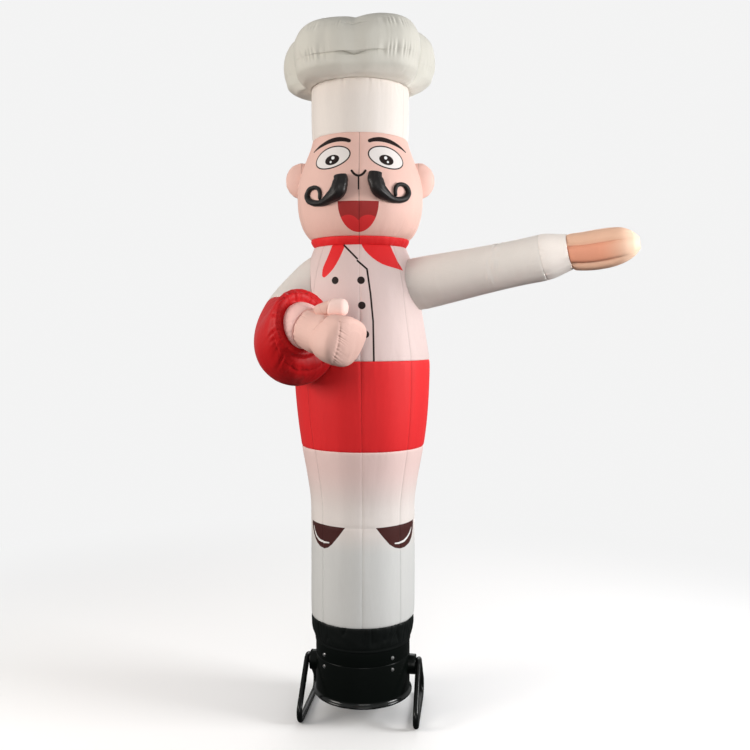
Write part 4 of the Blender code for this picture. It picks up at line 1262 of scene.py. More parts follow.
class AIRDANCER_OT_moustache(bpy.types.Operator):
    """Makes the two stuffed halves of the moustache"""

    bl_idname = "airdancer.moustache"
    bl_label = "Moustache"

    def execute(self, context):
        material = cloth_material(
            "moustache_weave", "black", (0.0,), radius=MOUSTACHE_ROUND, rough=0.42, sheen=0.0,
            seam_dark=0.9, shine=0.3,
        )
        for side, node in ((-1, "moustache_left"), (1, "moustache_right")):
            dressed(node, self.half(side), material, "black_cloth", 0.85)
        return {"FINISHED"}

    def half(self, side):
        stretch, shift, lift = MOUSTACHE_SIDES[side]
        rows = numbered(MOUSTACHE)
        last = len(MOUSTACHE) - 1.0

        def middle(at):
            across, height, half_width = smooth_through(rows, at)
            return across * stretch + shift, height + lift, half_width

        def on_the_face(across, height, out):
            radius = smooth_through(HEAD_OUTLINE, height)[0]
            return at_trunk(side * across / radius, radius + out, height)

        def cloth(angle, row):
            at, share = row
            across, height, half_width = middle(at)
            before, after = middle(max(at - 0.05, 0.0)), middle(min(at + 0.05, last))
            way = Vector((after[0] - before[0], after[1] - before[1])).normalized()
            soon, square = MOUSTACHE_BLUNT
            blunt = 1.0 - min(at / soon, 1.0)
            round_end = 1.0 - min((last - at) / MOUSTACHE_TIP, 1.0)
            full = (1.0 - blunt**square) ** (1.0 / square) * math.sqrt(1.0 - round_end**2)
            along = at * 0.03
            pull = noise_at(math.cos(angle) * 1.6, math.sin(angle) * 1.6, along / 0.021 + side)
            lump = noise_at(side * 5.0, 2.0, along / 0.055)
            rim = abs(math.sin(angle))
            size = half_width * full * share * (1.0 + MOUSTACHE_PULL * pull * rim + MOUSTACHE_LUMP * lump)
            size *= 1.0 - MOUSTACHE_SEAM * bump_at(1.0 - rim, 0.08)
            aside = Vector((-way.y, way.x)) * size * math.sin(angle)
            out = half_width * MOUSTACHE_OFF * min(full + 0.2, 1.0) + size * math.cos(angle)
            return on_the_face(across + aside.x, height + aside.y, max(out, GAP))

        places = spread(0.0, last, 190)
        return skin(MOUSTACHE_STEPS, closed_rows(places), cloth, lambda row: MOUSTACHE_ROUND)


def lobe_at(angle):
    """How far the crown reaches at this angle from the front, how much higher its top is there, how far
    off the next valley is, and how much the front is filled out."""
    pitch = math.tau / len(LOBES)
    lobe, off = divmod((angle - CROWN_TURN) % math.tau, pitch)
    off -= pitch / 2
    out, higher = LOBES[int(lobe)]
    puff = math.cos(math.pi * off / pitch) ** 2
    aside = LOBE_CENTRE * math.sin(off)
    circle = LOBE_CENTRE * math.cos(off) + math.sqrt(LOBE_RADIUS**2 - aside**2)
    front = abs(wrapped(angle - CROWN_TURN))
    full = CROWN_FRONT - CROWN_DIP * bump_at(front, CROWN_DIP_WIDTH)
    short = full - circle - out * puff if front < pitch / 2 else -CROWN_BLEND
    filled = short
    if short <= CROWN_BLEND:
        filled = max(short + CROWN_BLEND, 0.0) ** 2 / (4.0 * CROWN_BLEND)
    return circle + out * puff, higher * puff, pitch / 2 - abs(off), filled


def row_of_seam(seam, place):
    """The row of a crown seam at a distance round the crown."""
    before = max(k for k in range(len(seam) - 1) if k == 0 or seam[k][0] <= place)
    (place_0, row_0), (place_1, row_1) = seam[before], seam[before + 1]
    return row_0 + (row_1 - row_0) * (place - place_0) / (place_1 - place_0)


def crown_shade(draw, base):
    """Painted shadow in the folds of the crown's seams, and painted light on the cloth below, where light
    comes through it.
    """
    lines = []
    for seam, (low, high), _, half, _ in CROWN_SEAMS:
        places = [low, *[place for place, _ in seam if low < place < high], high]
        points = [(place, row_of_seam(seam, place), half) for place in places]
        lines.append(draw.line(points, edge=0.05))
    fold = any_of(*lines) * ramped(noisy(draw.place, 0.07, detail=1.0), 0.35, 0.62, 0.05, 0.45)
    base = mixed(draw.above(CROWN_UNDER, edge=2.0) * 0.95, base, CROWN_LIT)
    return mixed(fold, base, CROWN_FOLD_SHADOW), fold


class AIRDANCER_OT_hat(bpy.types.Operator):
    """Makes the hat band and the crown of five lobes"""

    bl_idname = "airdancer.hat"
    bl_label = "Hat"

    def execute(self, context):
        trunk_part(
            "hat_band", "hat_cloth", HAT_BAND_OUTLINE, (BROW_SEAM, CROWN_SEAM),
            HAT_SEAMS, (0.3, 1.6), 6.0,
            cloth_material("band_weave", "hat_band", HAT_SEAMS, seam_dark=0.85, creased_by=1.2),
        )
        material = cloth_material("crown_weave", "crown", (), creased_by=1.6, prints_and_painted_light=crown_shade)
        dressed("hat_crown", self.crown(), material, "hat_cloth", 0.9)
        return {"FINISHED"}

    def crown(self):
        look = bpy.context.scene.air_dancer_cloth
        last = len(CROWN_OUTLINE) - 1.0
        lines = {}

        def outline(angle):
            """Radius and height at this angle for each row of the crown's outline."""
            key = round(angle, 5)
            if key not in lines:
                lobe, higher, valley, filled = lobe_at(angle)
                rows = []
                for k, (height, from_foot, share) in enumerate(CROWN_OUTLINE):
                    reach = lobe + filled * CROWN_FILL_ROWS[k]
                    radius = share * reach if share else CROWN_FOOT + from_foot * (reach - CROWN_FOOT)
                    top = max(height - CROWN_WIDEST, 0.0) / (CROWN_TOP - CROWN_WIDEST)
                    free = 1.0 if share else min(from_foot / CROWN_FREE_SHARE, 1.0)
                    rows.append((k, radius, height + min(top, 1.0) * higher, free))
                lines[key] = (rows, valley + filled)
            return lines[key]

        def cloth(angle, row):
            at, share = row
            rows, valley = outline(angle)
            radius, height, free = smooth_through(rows, at)
            before = smooth_through(rows, max(at - 0.02, 0.0))
            after = smooth_through(rows, min(at + 0.02, last))
            run = Vector((after[0] - before[0], after[1] - before[1]))
            out_way = Vector((-run.y, run.x)).normalized() if run.length > MERGE else Vector((0.0, 1.0))
            x, y = round_at(angle, radius)
            free = clamped(free)
            spot = Vector((x, y, height))
            out = 0.0035 * noise.noise(spot / 0.14) + 0.0012 * noise.noise(spot / 0.05)
            around = Vector((math.sin(angle), -math.cos(angle), 0.0)) * 0.26
            place = CROWN_ROUND * angle
            pleats = place / CROWN_PLEAT + 1.4 * noise_at(place / 0.05, 8.0, 2.0)
            pleat = abs(math.sin(math.pi * pleats)) - CROWN_PLEAT_MEAN
            for seam, (low, high), lip, _, puckers in CROWN_SEAMS:
                seen = 0.1 + 0.9 * clamped(min(place - low, high - place) / 0.03 + 0.5)
                off = at - row_of_seam(seam, place)
                gather = CROWN_EVEN_PUCKER + sum(
                    strength * bump_at(wrapped(angle - math.radians(degrees)), math.radians(width))
                    for degrees, width, strength in puckers
                )
                broad = noise_at(around.x / 0.04, around.y / 0.04, 20.0 + at * 0.2)
                hold = bump_at(off, CROWN_PUCKER_ROWS)
                out += look.pucker * gather * hold * (0.85 * pleat + 0.7 * broad)
                out += seen * lip * (math.exp(off / 0.4) if off < 0.0 else -1.3 * math.exp(-off / 0.3))
                out -= seen * CROWN_SEAM_DEPTH * math.exp(-abs(off) / 0.07)
            foot = last - at
            tuck = noise_at(around.x / 0.023, around.y / 0.023, 40.0)
            out += CROWN_TUCK_DEPTH * tuck * math.exp(-foot / 1.3) * min(foot, 1.0)
            # The valleys between the lobes are pulled in to a line.
            pulled = math.exp(-valley * radius / CROWN_VALLEY_WIDTH)
            side = clamped((at - 1.0) / 2.0) * clamped((9.0 - at) / 1.5)
            out -= CROWN_VALLEY_DEPTH * pulled * side
            out *= min(foot / 0.5, 1.0)
            radius = (radius + out * out_way.x) * share
            height += out * out_way.y
            x, y = round_at(angle, radius)
            rise = free * (CROWN_TILT.x * x + CROWN_TILT.y * y)
            return Vector((x + free * CROWN_SHIFT, y, height + rise))

        places = sorted({*spread(0.0, last, 105), *spread(3.85, 4.35, 13), *spread(6.4, 7.2, 21)})
        rows = [(0.0, 0.0), (0.0, 0.35), (0.0, 0.7)] + [(at, 1.0) for at in places]
        rows += [(last, 0.985), (last, 0.9), (last, 0.5), (last, 0.0)]
        return skin(CROWN_STEPS, rows, cloth, lambda row: CROWN_ROUND)


def sleeve_cloth():
    return cloth_material("sleeve_weave", "sleeve", (180.0,), radius=0.1, seam_dark=0.8, creased_by=1.3)


SLEEVE_START, CUFF_LENGTH, HAND_LENGTH = SLEEVE_OUTLINE[0][0], WRIST_LENGTH - SLEEVE_LENGTH, MITTEN[-1][0]
WHOLE_SLEEVE = SLEEVE_LENGTH - SLEEVE_START
WRIST = SHOULDER + SLEEVE_WAY * (WRIST_LENGTH + GAP)


def straight_part(rows):
    """Round sections along the straight arm."""
    def section(at):
        radius = smooth_through(rows, at)[0]
        return SHOULDER + SLEEVE_WAY * at, SLEEVE_WAY, FRONT, radius, radius, 2.0
    return section


def sleeve_relief(angle, x, y, along):
    held = [(along, 0.9), (WHOLE_SLEEVE - along, 0.8)]
    out = relief(x, y, along, held, 8.0, billow=0.0022, streak=0.0012, seam=0.45)
    # A few short folds across the middle of the sleeve, and slack ones under the shoulder.
    lean = along - 0.35 * max(math.sin(angle), -0.6) * 0.1
    short = bump_at(lean - SLEEVE_FOLDS[0], SLEEVE_FOLDS[1]) * max(math.cos(angle - 0.5), 0.0)
    out += 0.0085 * short * waves(SLEEVE_FOLD_SIZE, x, y, lean)
    under = max(-math.sin(angle), 0.0)
    slack = under * math.exp(-along / 0.12) * waves(SLEEVE_SLACK_SIZE, x, y, along)
    return out + 0.003 * slack


def cuff_relief(angle, x, y, along):
    held = [(along, 0.9), (CUFF_LENGTH - along, 1.1)]
    return relief(x, y, along, held, 9.0, seam=0.45)


def hand_at(at):
    drop, half_height, half_depth, _ = smooth_through(MITTEN, at)
    way = SLEEVE_WAY.lerp(MITTEN_WAY, min(at / 0.02, 1.0)).normalized()
    return WRIST + MITTEN_WAY * at - UP * drop, way, FRONT, half_height, half_depth, 2.0


def hand_relief(angle, x, y, along):
    share = smooth_through(MITTEN, min(along, HAND_LENGTH))[3]
    depth = 0.0
    for groove in MITTEN_GROOVES:
        off = wrapped(angle - MITTEN_FACE - groove)
        wander = 0.05 * noise_at(groove, along / 0.07, 2.0)
        depth += bump_at(off + wander, MITTEN_GROOVE_WIDTH)
        depth += 0.25 * bump_at(off + wander, MITTEN_GROOVE_WIDTH * 0.3)
    out = -share * MITTEN_GROOVE_DEPTH * depth
    out += 0.0016 * noise_at(angle * 2.0, along / 0.018, 1.0) * share * min(depth, 1.0)
    return out + relief(x, y, along, [(along, 1.2)], 10.0) * min((HAND_LENGTH - along) / 0.03, 1.0)


class AIRDANCER_OT_straight_arm(bpy.types.Operator):
    """Makes the straight arm's sleeve, its cuff and its mitten hand"""

    bl_idname = "airdancer.straight_arm"
    bl_label = "Straight arm"

    def execute(self, context):
        shape = limb(
            straight_part(SLEEVE_OUTLINE), SLEEVE_START, SLEEVE_LENGTH - GAP / 2, WHOLE_SLEEVE,
            SLEEVE_ROUND, sleeve_relief, start_of=start_on_the_trunk,
        )
        dressed("straight_sleeve", shape, sleeve_cloth(), "white_cloth")

        shape = limb(
            straight_part(CUFF_OUTLINE), SLEEVE_LENGTH + GAP / 2, WRIST_LENGTH - GAP / 2, CUFF_LENGTH,
            WRIST_ROUND, cuff_relief, 0.8, off_trunk=False,
        )
        # The cuff takes the hat band's lighter white: painted light, for the glow of light through its thin
        # cloth.
        material = cloth_material("wrist_weave", "hat_band", (), creased_by=1.2)
        dressed("straight_cuff", shape, material, "white_cloth")

        shape = limb(
            hand_at, 0.0, HAND_LENGTH, HAND_LENGTH, MITTEN_ROUND, hand_relief, 0.7, off_trunk=False,
        )
        material = cloth_material("hand_weave", "hand", (), rough=0.44, creased_by=1.2, prints_and_painted_light=hand_shade)
        dressed("straight_hand", shape, material, "salmon_cloth", 0.9)
        return {"FINISHED"}


def hand_shade(draw, base):
    """The palm between the grooves is redder, the grooves get painted shadow and the tip painted light."""
    _, along, _ = parted(draw.cloth)
    low, high = [MITTEN_ROUND * (MITTEN_FACE + turn) for turn in (-MITTEN_GROOVE, MITTEN_GROOVE)]
    palm = both(
        draw.left_of((high, 0.0), (high, 1.0), 0.006), draw.left_of((low, 1.0), (low, 0.0), 0.006),
    )
    grooves = any_of(*[
        draw.line([(x, 0.0, 0.0016), (x, 0.17, 0.0016), (x * 0.9, 0.23, 0.0002)], edge=0.005)
        for x in (low, high)
    ])
    light = ramped(along, 0.18, 0.27)
    for mask, tone in (
        (palm * ramped(along, 0.12, 0.24, 1.0, 0.0), colour_of("palm")),
        (grooves * 0.5, GROOVE_SHADOW),
        (light * 0.5, TIP_LIGHT),
    ):
        base = mixed(mask, base, tone)
    return base, light


def forearm_shade(draw, base):
    """Painted shade on the lower side, next to the figure, where little light reaches."""
    across, _, _ = parted(draw.cloth)
    angle = across * (1.0 / FOREARM_ROUND) + FOREARM_UNDER
    under = ramped(maths("COSINE", angle), 0.5, 1.0, 0.0, 0.46)
    return mixed(under, base, FOREARM_SHADOW), under


def fist_shade(draw, base):
    """The folds of the fist hold some shadow."""
    lines = [
        draw.line([(*start, FOLD_SHADE), (*end, FOLD_SHADE)], edge=0.005) for start, end, _ in FIST_FOLDS
    ]
    fold = any_of(*lines) * 0.38
    return mixed(fold, base, SKIN_SHADOW), fold


def thumb_shade(draw, base):
    """Painted shadow in the thumb's fold and crease and on its foot, and painted light on its tip beyond the
    fold.
    """
    fold = draw.line([
        (THUMB_ROUND * angle, THUMB_FOLD + THUMB_SLANT * math.sin(angle), FOLD_SHADE)
        for angle in spread(-math.pi, math.pi, 9)
    ], edge=0.004)
    crease = draw.line([(*place, FOLD_SHADE * 0.4) for place in THUMB_CREASE], edge=0.003)
    foot = draw.below(THUMB_FOLD, edge=0.003)
    dark = any_of(fold, crease) * 0.35 + foot * 0.12
    return mixed(dark, mixed(foot, THUMB_LIGHT, base), SKIN_SHADOW), dark


CAP_WAY, FIST_WAY = way_to(*FOREARM[-1][3:5]), way_to(FIST_TURN, FIST_DIP)
FIST_START = Vector(FOREARM[-1][:3]) + CAP_WAY * GAP
FIST_UP = (UP - FIST_WAY * FIST_WAY.z).normalized()
FIST_LENGTH, THUMB_LENGTH = FIST[-1][0] - FIST[0][0], THUMB[-1][0] - THUMB[0][0]
THUMB_WAY = way_to(THUMB_TURN, THUMB_DIP)


def bent_part(rows):
    """Round sections through rows of the bent arm."""
    rows = numbered(rows)

    def section(at):
        x, y, z, turn, dip, radius = smooth_through(rows, at)
        return Vector((x, y, z)), way_to(turn, dip), LIMB_FACING, radius, radius, 2.0
    return section


def upper_arm_relief(angle, x, y, along):
    return relief(x, y, along, [(along, 1.0), (UPPER_ARM_LENGTH - along, 1.0)], 11.0, 0.003)


def forearm_relief(angle, x, y, along):
    look = bpy.context.scene.air_dancer_cloth
    out = relief(x, y, along, [(along, 1.0)], 12.0, billow=0.004)
    least, more, soon = CAP_SEAM
    past = along - (FOREARM_LENGTH - least - more * (0.5 - 0.5 * math.sin(angle)) ** soon)
    off = abs(past)
    puckers, pucker_reach, lumps, hollow = CAP_GATHER
    fine, broad = waves(CAP_FINE, x, y, along, 31.0), waves(CAP_BROAD, x, y, along, 37.0)
    gather = look.pucker * puckers * math.exp(-off / pucker_reach)
    out += gather * (1.2 * fine + broad - creased(broad, 4.0))
    out += lumps * clamped(past / 0.02) * noise.noise(Vector((x, y, along + 2.0)) / 0.045)
    return out - hollow * math.exp(-off / 0.005)


def cap_press(point):
    """The cap swells round the cuff, and is creased towards it."""
    to = point - FIST_START
    rise = to.dot(CAP_WAY)
    flat = to - CAP_WAY * rise
    first, last = CAP_CREASES
    if rise < -0.08 or not first < flat.length < last:
        return Vector()
    start, over, height = CAP_PUFF
    puff = height * math.sin(math.pi * clamped((flat.length - start) / over))
    hold = min((flat.length - first) / 0.007, (last - flat.length) / 0.035, 1.0)
    spoke = flat.normalized()
    fine, broad = noise.noise(spoke * 5.2), noise.noise(spoke * 2.6 + UP * 9.0)
    crease = 0.0028 * fine + 0.0045 * broad - 0.0045 * creased(fine, 3.5)
    return (CAP_WAY + spoke * 0.4) * (puff + hold * crease * (0.7 + 0.3 * spoke.z))


def fist_cuff_at(at):
    way = CAP_WAY.lerp(FIST_WAY, min(at / FIST_CUFF[-1][0], 1.0)).normalized()
    radius = smooth_through(FIST_CUFF, at)[0]
    return FIST_START + FIST_WAY * at, way, FRONT, radius, radius, 2.0


def fist_cuff_relief(angle, x, y, along):
    return relief(x, y, along, [(along, 0.6), (FIST_CUFF[-1][0] - along, 0.8)], 13.0)


def fist_at(at):
    rise, half_height, half_depth, squareness = smooth_through(FIST, at)
    middle = FIST_START + FIST_WAY * at + FIST_UP * rise
    return middle, FIST_WAY, FRONT, half_height, half_depth, squareness


def fist_relief(angle, x, y, along):
    out = relief(x, y, along, [(along, 1.2)], 14.0, billow=0.003)
    # Folds where the palm meets the fingers, and from there to the thumb.
    for start, end, depth in FIST_FOLDS:
        away = from_line((angle * FIST_ROUND, along), start, end)
        out -= depth * (0.6 * bump_at(away, 0.012) + 0.4 * math.exp(-away / 0.0028))
    end_share = (along - END_PANEL[0]) / (END_PANEL[1] - END_PANEL[0])
    return out * (1.0 - clamped(end_share))


def knuckle_press(point):
    """The seam of the end panel holds the cloth in, with short folds across it."""
    if point.y > FIST_START.y + (FIST_WAY * FIST_MIDDLE).y:
        return Vector()
    gone, best = 0.0, None
    for (x, z), (next_x, next_z) in zip(KNUCKLE_SEAM, KNUCKLE_SEAM[1:]):
        run, to = Vector((next_x - x, next_z - z)), Vector((point.x - x, point.z - z))
        share = clamped(to.dot(run) / run.length_squared)
        away = (to - run * share).length
        if best is None or away < best[0]:
            best = away, gone + share * run.length, run.x * to.y - run.y * to.x
        gone += run.length
    away, along, side = best
    off = away if side > 0.0 else -away
    # The folds lean, so they are counted along the seam less some of the way across it.
    count = (along - KNUCKLE_SLANT * off) / KNUCKLE_PITCH
    count += 1.6 * noise_at(count * 0.55, 51.0, 0.0)
    fold = abs(math.sin(math.pi * count)) - KNUCKLE_MEAN
    strength = 0.75 + 0.8 * noise_at(count * 0.6, 57.0, 0.0)
    hold = math.exp(-away / KNUCKLE_REACH[0 if off > 0.0 else 1])
    ends = min(along / 0.03, 1.0) * min(max(gone - along, 0.0) / 0.03, 1.0)
    out = KNUCKLE_DEPTH * hold * strength * fold - KNUCKLE_HOLLOW * math.exp(-away / 0.004)
    return KNUCKLE_WAY * out * ends


def thumb_at(at):
    half_height, half_depth = smooth_through(THUMB, at)
    middle = THUMB_START + THUMB_WAY * at
    return middle, THUMB_WAY, FRONT, half_height, half_depth, THUMB_SQUARENESS


def thumb_relief(angle, x, y, along):
    out = relief(x, y, along, [(along, 1.0)], 15.0, billow=0.001)
    off = along - THUMB_FOLD - THUMB_SLANT * math.sin(angle)
    out -= THUMB_FOLD_DEPTH * math.exp(-abs(off) / 0.003) + THUMB_STEP * clamped(-off / 0.006)
    out -= THUMB_RAMP * max(math.sin(angle), 0.0) * clamped(-off / 0.065)
    fine = noise_at(x / 0.009, y / 0.009, 61.0)
    out += 0.0022 * fine * math.exp(-abs(off) / 0.012)
    return out * min((THUMB_LENGTH - along) / 0.02 + 0.05, 1.0)


class AIRDANCER_OT_bent_arm(bpy.types.Operator):
    """Makes the bent arm: sleeve, fat forearm, cuff, fist and thumb"""

    bl_idname = "airdancer.bent_arm"
    bl_label = "Bent arm"

    def execute(self, context):
        shape = limb(
            bent_part(UPPER_ARM), 0.0, len(UPPER_ARM) - 1.0, UPPER_ARM_LENGTH,
            UPPER_ARM_ROUND, upper_arm_relief, start_of=start_on_the_trunk,
        )
        dressed("bent_sleeve", shape, sleeve_cloth(), "white_cloth")

        shape = limb(
            bent_part(FOREARM), 0.002, len(FOREARM) - 1.0, FOREARM_LENGTH, FOREARM_ROUND,
            forearm_relief, press_of=cap_press, run_in=CAP_RUN_IN,
        )
        material = cloth_material(
            "forearm_weave", "forearm", (), creased_by=1.8, rough=0.46, prints_and_painted_light=forearm_shade
        )
        dressed("bent_forearm", shape, material, "red_cloth")

        shape = limb(
            fist_cuff_at, 0.0, FIST_CUFF[-1][0] - GAP, FIST_CUFF[-1][0], FIST_CUFF_ROUND,
            fist_cuff_relief, 0.8, off_trunk=False,
        )
        material = cloth_material("cuff_weave", "cuff", (), creased_by=1.3)
        dressed("bent_cuff", shape, material, "white_cloth")

        shape = limb(
            fist_at, FIST[0][0], FIST[-1][0], FIST_LENGTH, FIST_ROUND, fist_relief,
            0.5, off_trunk=False, places=spread(END_PANEL[0], FIST_LENGTH - 0.0005, 26),
            dome=0.004, press_of=knuckle_press, run_in=spread(0.0, 0.985, 20),
        )
        material = cloth_material("fist_weave", "skin", (), creased_by=1.5, prints_and_painted_light=fist_shade)
        dressed("fist", shape, material, "skin_cloth")

        shape = limb(
            thumb_at, THUMB[0][0], THUMB[-1][0], THUMB_LENGTH, THUMB_ROUND, thumb_relief, 0.5,
            off_trunk=False, dome=0.0012, places=spread(THUMB_FOLD - 0.016, THUMB_FOLD + 0.014, 21),
        )
        material = cloth_material("thumb_weave", "skin", (), prints_and_painted_light=thumb_shade)
        dressed("thumb", shape, material, "skin_cloth")
        return {"FINISHED"}


class AIRDANCER_OT_boot_cuff(bpy.types.Operator):
    """Makes the black cloth that ties the figure over the blower's drum"""

    bl_idname = "airdancer.boot_cuff"
    bl_label = "Boot cuff"

    def execute(self, context):
        look = context.scene.air_dancer_cloth
        inner = DRUM_RADIUS + HEM_EASE
        outer = inner + HEM_THICKNESS
        top, under = BOOT_SEAM - GAP / 2, DRUM_TOP + GAP
        # Height and share of the way out: down the outside, and with shares below 0 up the inside.
        rows = [(top, 0.0), (top, 0.5), (top, 0.97)]
        rows += [(place, 1.0) for place in reversed(stations(CUFF_FOOT, top, look.spacing * 0.8))]
        rows += [*HEM_ROWS, (under, -1.0), (under, -0.5), (under, -0.0001)]

        def outside(height):
            """The radius of the cloth where it is slack: tied at its foot, and full above the drum."""
            if height < CUFF_FOOT:
                return outer
            if height >= DRUM_TOP:
                return max(smooth_through(TRUNK_OUTLINE, height)[0], outer)
            full = smooth_through(TRUNK_OUTLINE, DRUM_TOP)[0] - outer
            return outer + full * ((height - CUFF_FOOT) / (DRUM_TOP - CUFF_FOOT)) ** 0.6

        def cloth(angle, row):
            height, share = row
            if share < 0.0:
                return at_trunk(angle, inner * -share, height)
            radius = outside(height)
            x, y = round_at(angle, radius)
            full = clamped((height - CUFF_FOOT) / 0.03)
            fold = waves(BOOT_FOLD_SIZE, x, y, height)
            slant = noise_at(x / 0.06 + height / 0.05, y / 0.06, height / 0.07)
            out = full * (0.0035 * fold + 0.003 * slant - 0.0045 * creased(fold, 3.5))
            out += relief(x, y, height, [(BOOT_SEAM - height, 0.8)]) * full
            return at_trunk(angle, max(radius + out, outer) * share, height)

        shape = skin(BOOT_STEPS, rows, cloth, lambda row: BOOT_ROUND)
        material = cloth_material(
            "boot_weave", "boot", BOOT_SEAMS, radius=BOOT_ROUND, rough=0.46, sheen=0.0,
            creased_by=1.2, seam_dark=0.9,
        )
        dressed("boot_cuff", shape, material, "black_cloth", 0.8)
        return {"FINISHED"}


def turned_profile(profile, steps):
    """A closed shape spun round the upright axis from a profile of (radius, height), top to bottom."""
    shape = bmesh.new()
    points = [shape.verts.new((radius, 0.0, height)) for radius, height in profile]
    edges = [shape.edges.new(pair) for pair in zip(points, points[1:])]
    bmesh.ops.spin(
        shape, geom=points + edges, cent=(0.0, 0.0, 0.0), axis=UP, angle=math.tau, steps=steps,
        use_merge=True,
    )
    bmesh.ops.remove_doubles(shape, verts=shape.verts, dist=MERGE)
    return shape


def turn_to_blower(shape):
    turn = Matrix.Rotation(BLOWER_TURN, 3, "Z")
    bmesh.ops.rotate(shape, cent=(0.0, 0.0, 0.0), matrix=turn, verts=shape.verts)


class AIRDANCER_OT_drum(bpy.types.Operator):
    """Makes the drum's two rings, the bolts that hold them and the round blocks at the sides"""

    bl_idname = "airdancer.drum"
    bl_label = "Drum"

    def execute(self, context):
        plastic = glossy_material(
            "drum_finish", "plastic", 0.22, 0.0012, shine=0.14, polished_below=DRUM_BOTTOM + 0.014
        )
        low, rim = DRUM_BOTTOM, DRUM_BOTTOM + DRUM_RIM_RISE
        bead = [
            (
                DRUM_RIM - DRUM_RIM_HALF + DRUM_RIM_HALF * math.cos(math.radians(angle)),
                low + DRUM_RIM_HALF + DRUM_RIM_HALF * math.sin(math.radians(angle)),
            )
            for angle in (75, 55, 35, 15, -5, -25, -45, -65, -90)
        ]
        lower = [
            (0.0, DRUM_SPLIT - GAP / 2),
            *[(DRUM_RADIUS - inwards, DRUM_SPLIT - off) for inwards, off in DRUM_EDGE],
            (DRUM_RADIUS, rim + 0.006), (DRUM_RADIUS + 0.0004, rim + 0.001),
            (DRUM_RADIUS + 0.0018, rim - 0.004),
            *bead,
            (DRUM_RADIUS - DRUM_WALL, low), (DRUM_RADIUS - DRUM_WALL - 0.0008, low + 0.001),
            (DRUM_RADIUS - DRUM_WALL - 0.002, low + DRUM_RECESS), (0.0, low + DRUM_RECESS),
        ]
        upper = [
            (0.0, DRUM_TOP), (DRUM_RADIUS - 0.003, DRUM_TOP),
            (DRUM_RADIUS - 0.0008, DRUM_TOP - 0.0008), (DRUM_RADIUS, DRUM_TOP - 0.003),
            *[(DRUM_RADIUS - inwards, DRUM_SPLIT + off) for inwards, off in reversed(DRUM_EDGE)],
            (0.0, DRUM_SPLIT + GAP / 2),
        ]
        steps = context.scene.air_dancer_blower.round_steps
        for level, profile in (("lower", lower), ("upper", upper)):
            ring = turned_profile(profile, steps)
            finished(f"{level}_ring", ring, plastic, "black_plastic", f"drum_{level}", sharp=50.0)
        self.bolts()
        for side_of, node in ((-1, "hub_left"), (1, "hub_right")):
            self.hub(side_of, node, plastic)
        return {"FINISHED"}

    def bolts(self):
        """Eight hexagon heads, each on its washer."""
        shape = bmesh.new()
        names = []
        for number, degrees in enumerate(BOLT_ANGLES):
            for level, side_of in (("low", -1), ("high", 1)):
                way = at_trunk(math.radians(degrees), 1.0, 0.0)
                at = way * (DRUM_RADIUS + GAP) + UP * (DRUM_SPLIT + side_of * BOLT_FROM_SPLIT)
                stand = way.to_track_quat("Z", "Y").to_matrix().to_4x4()
                for steps, radius, low, depth, edge in BOLT_PARTS:
                    middle = low + depth / 2
                    made_cone = bmesh.ops.create_cone(
                        shape, cap_ends=True, segments=steps, radius1=radius, radius2=radius,
                        depth=depth, matrix=Matrix.Translation(at + way * middle) @ stand,
                    )
                    edges = {e for v in made_cone["verts"] for e in v.link_edges}
                    far = [e for e in edges if all((v.co - at).dot(way) > middle for v in e.verts)]
                    bmesh.ops.bevel(
                        shape, geom=far, offset=edge, segments=2, profile=0.5, affect="EDGES", material=-1,
                    )
                names.append(f"bolt_{level}_{number + 1}")
        turn_to_blower(shape)
        steel = glossy_material("bolt_finish", "bolt", 0.3, 0.0006, metallic=1.0, shine=0.5)
        finished("bolt_heads", shape, steel, "bolt_steel", *names, sharp=30.0)

    def hub(self, side_of, node, material):
        """A round block between the drum's wall and the side frame."""
        outer = FRAME_HALF_WIDTH - TUBE_RADIUS - GAP

        def place(angle, row):
            part, share = HUB_ROWS[row[0]]
            y, z = math.sin(angle), math.cos(angle)
            radius = HUB_RADIUS if part == "wall" else HUB_RADIUS * share
            x, near = outer, math.sqrt((DRUM_RADIUS + GAP) ** 2 - (radius * y) ** 2)
            if part == "in":
                x = near
            elif part == "wall":
                x = near + (outer - HUB_EDGE - near) * share
            elif part == "edge":
                turn = share * math.pi / 2
                radius = HUB_RADIUS - HUB_EDGE * (1.0 - math.cos(turn))
                x = outer - HUB_EDGE + HUB_EDGE * math.sin(turn)
            elif part == "dish":
                x = outer - 0.002
            return Vector((side_of * x, radius * y, HUB_HEIGHT + radius * z))

        shape = skin(HUB_STEPS, [(k,) for k in range(len(HUB_ROWS))], place, lambda row: HUB_RADIUS)
        turn_to_blower(shape)
        finished(f"{node}_block", shape, material, "black_plastic", node, sharp=40.0)


def rounded_corner(before, corner, after, bend, count):
    """Points of the arc that rounds a corner between two straight runs."""
    back, on = (before - corner).normalized(), (after - corner).normalized()
    half = back.angle(on) / 2
    middle = corner + (back + on).normalized() * bend / math.sin(half)
    start = corner + back * bend / math.tan(half) - middle
    end = corner + on * bend / math.tan(half) - middle
    arc = start.angle(end)
    return [
        middle + (start * math.sin(arc - t) + end * math.sin(t)) / math.sin(arc)
        for t in spread(0.0, arc, count)
    ]


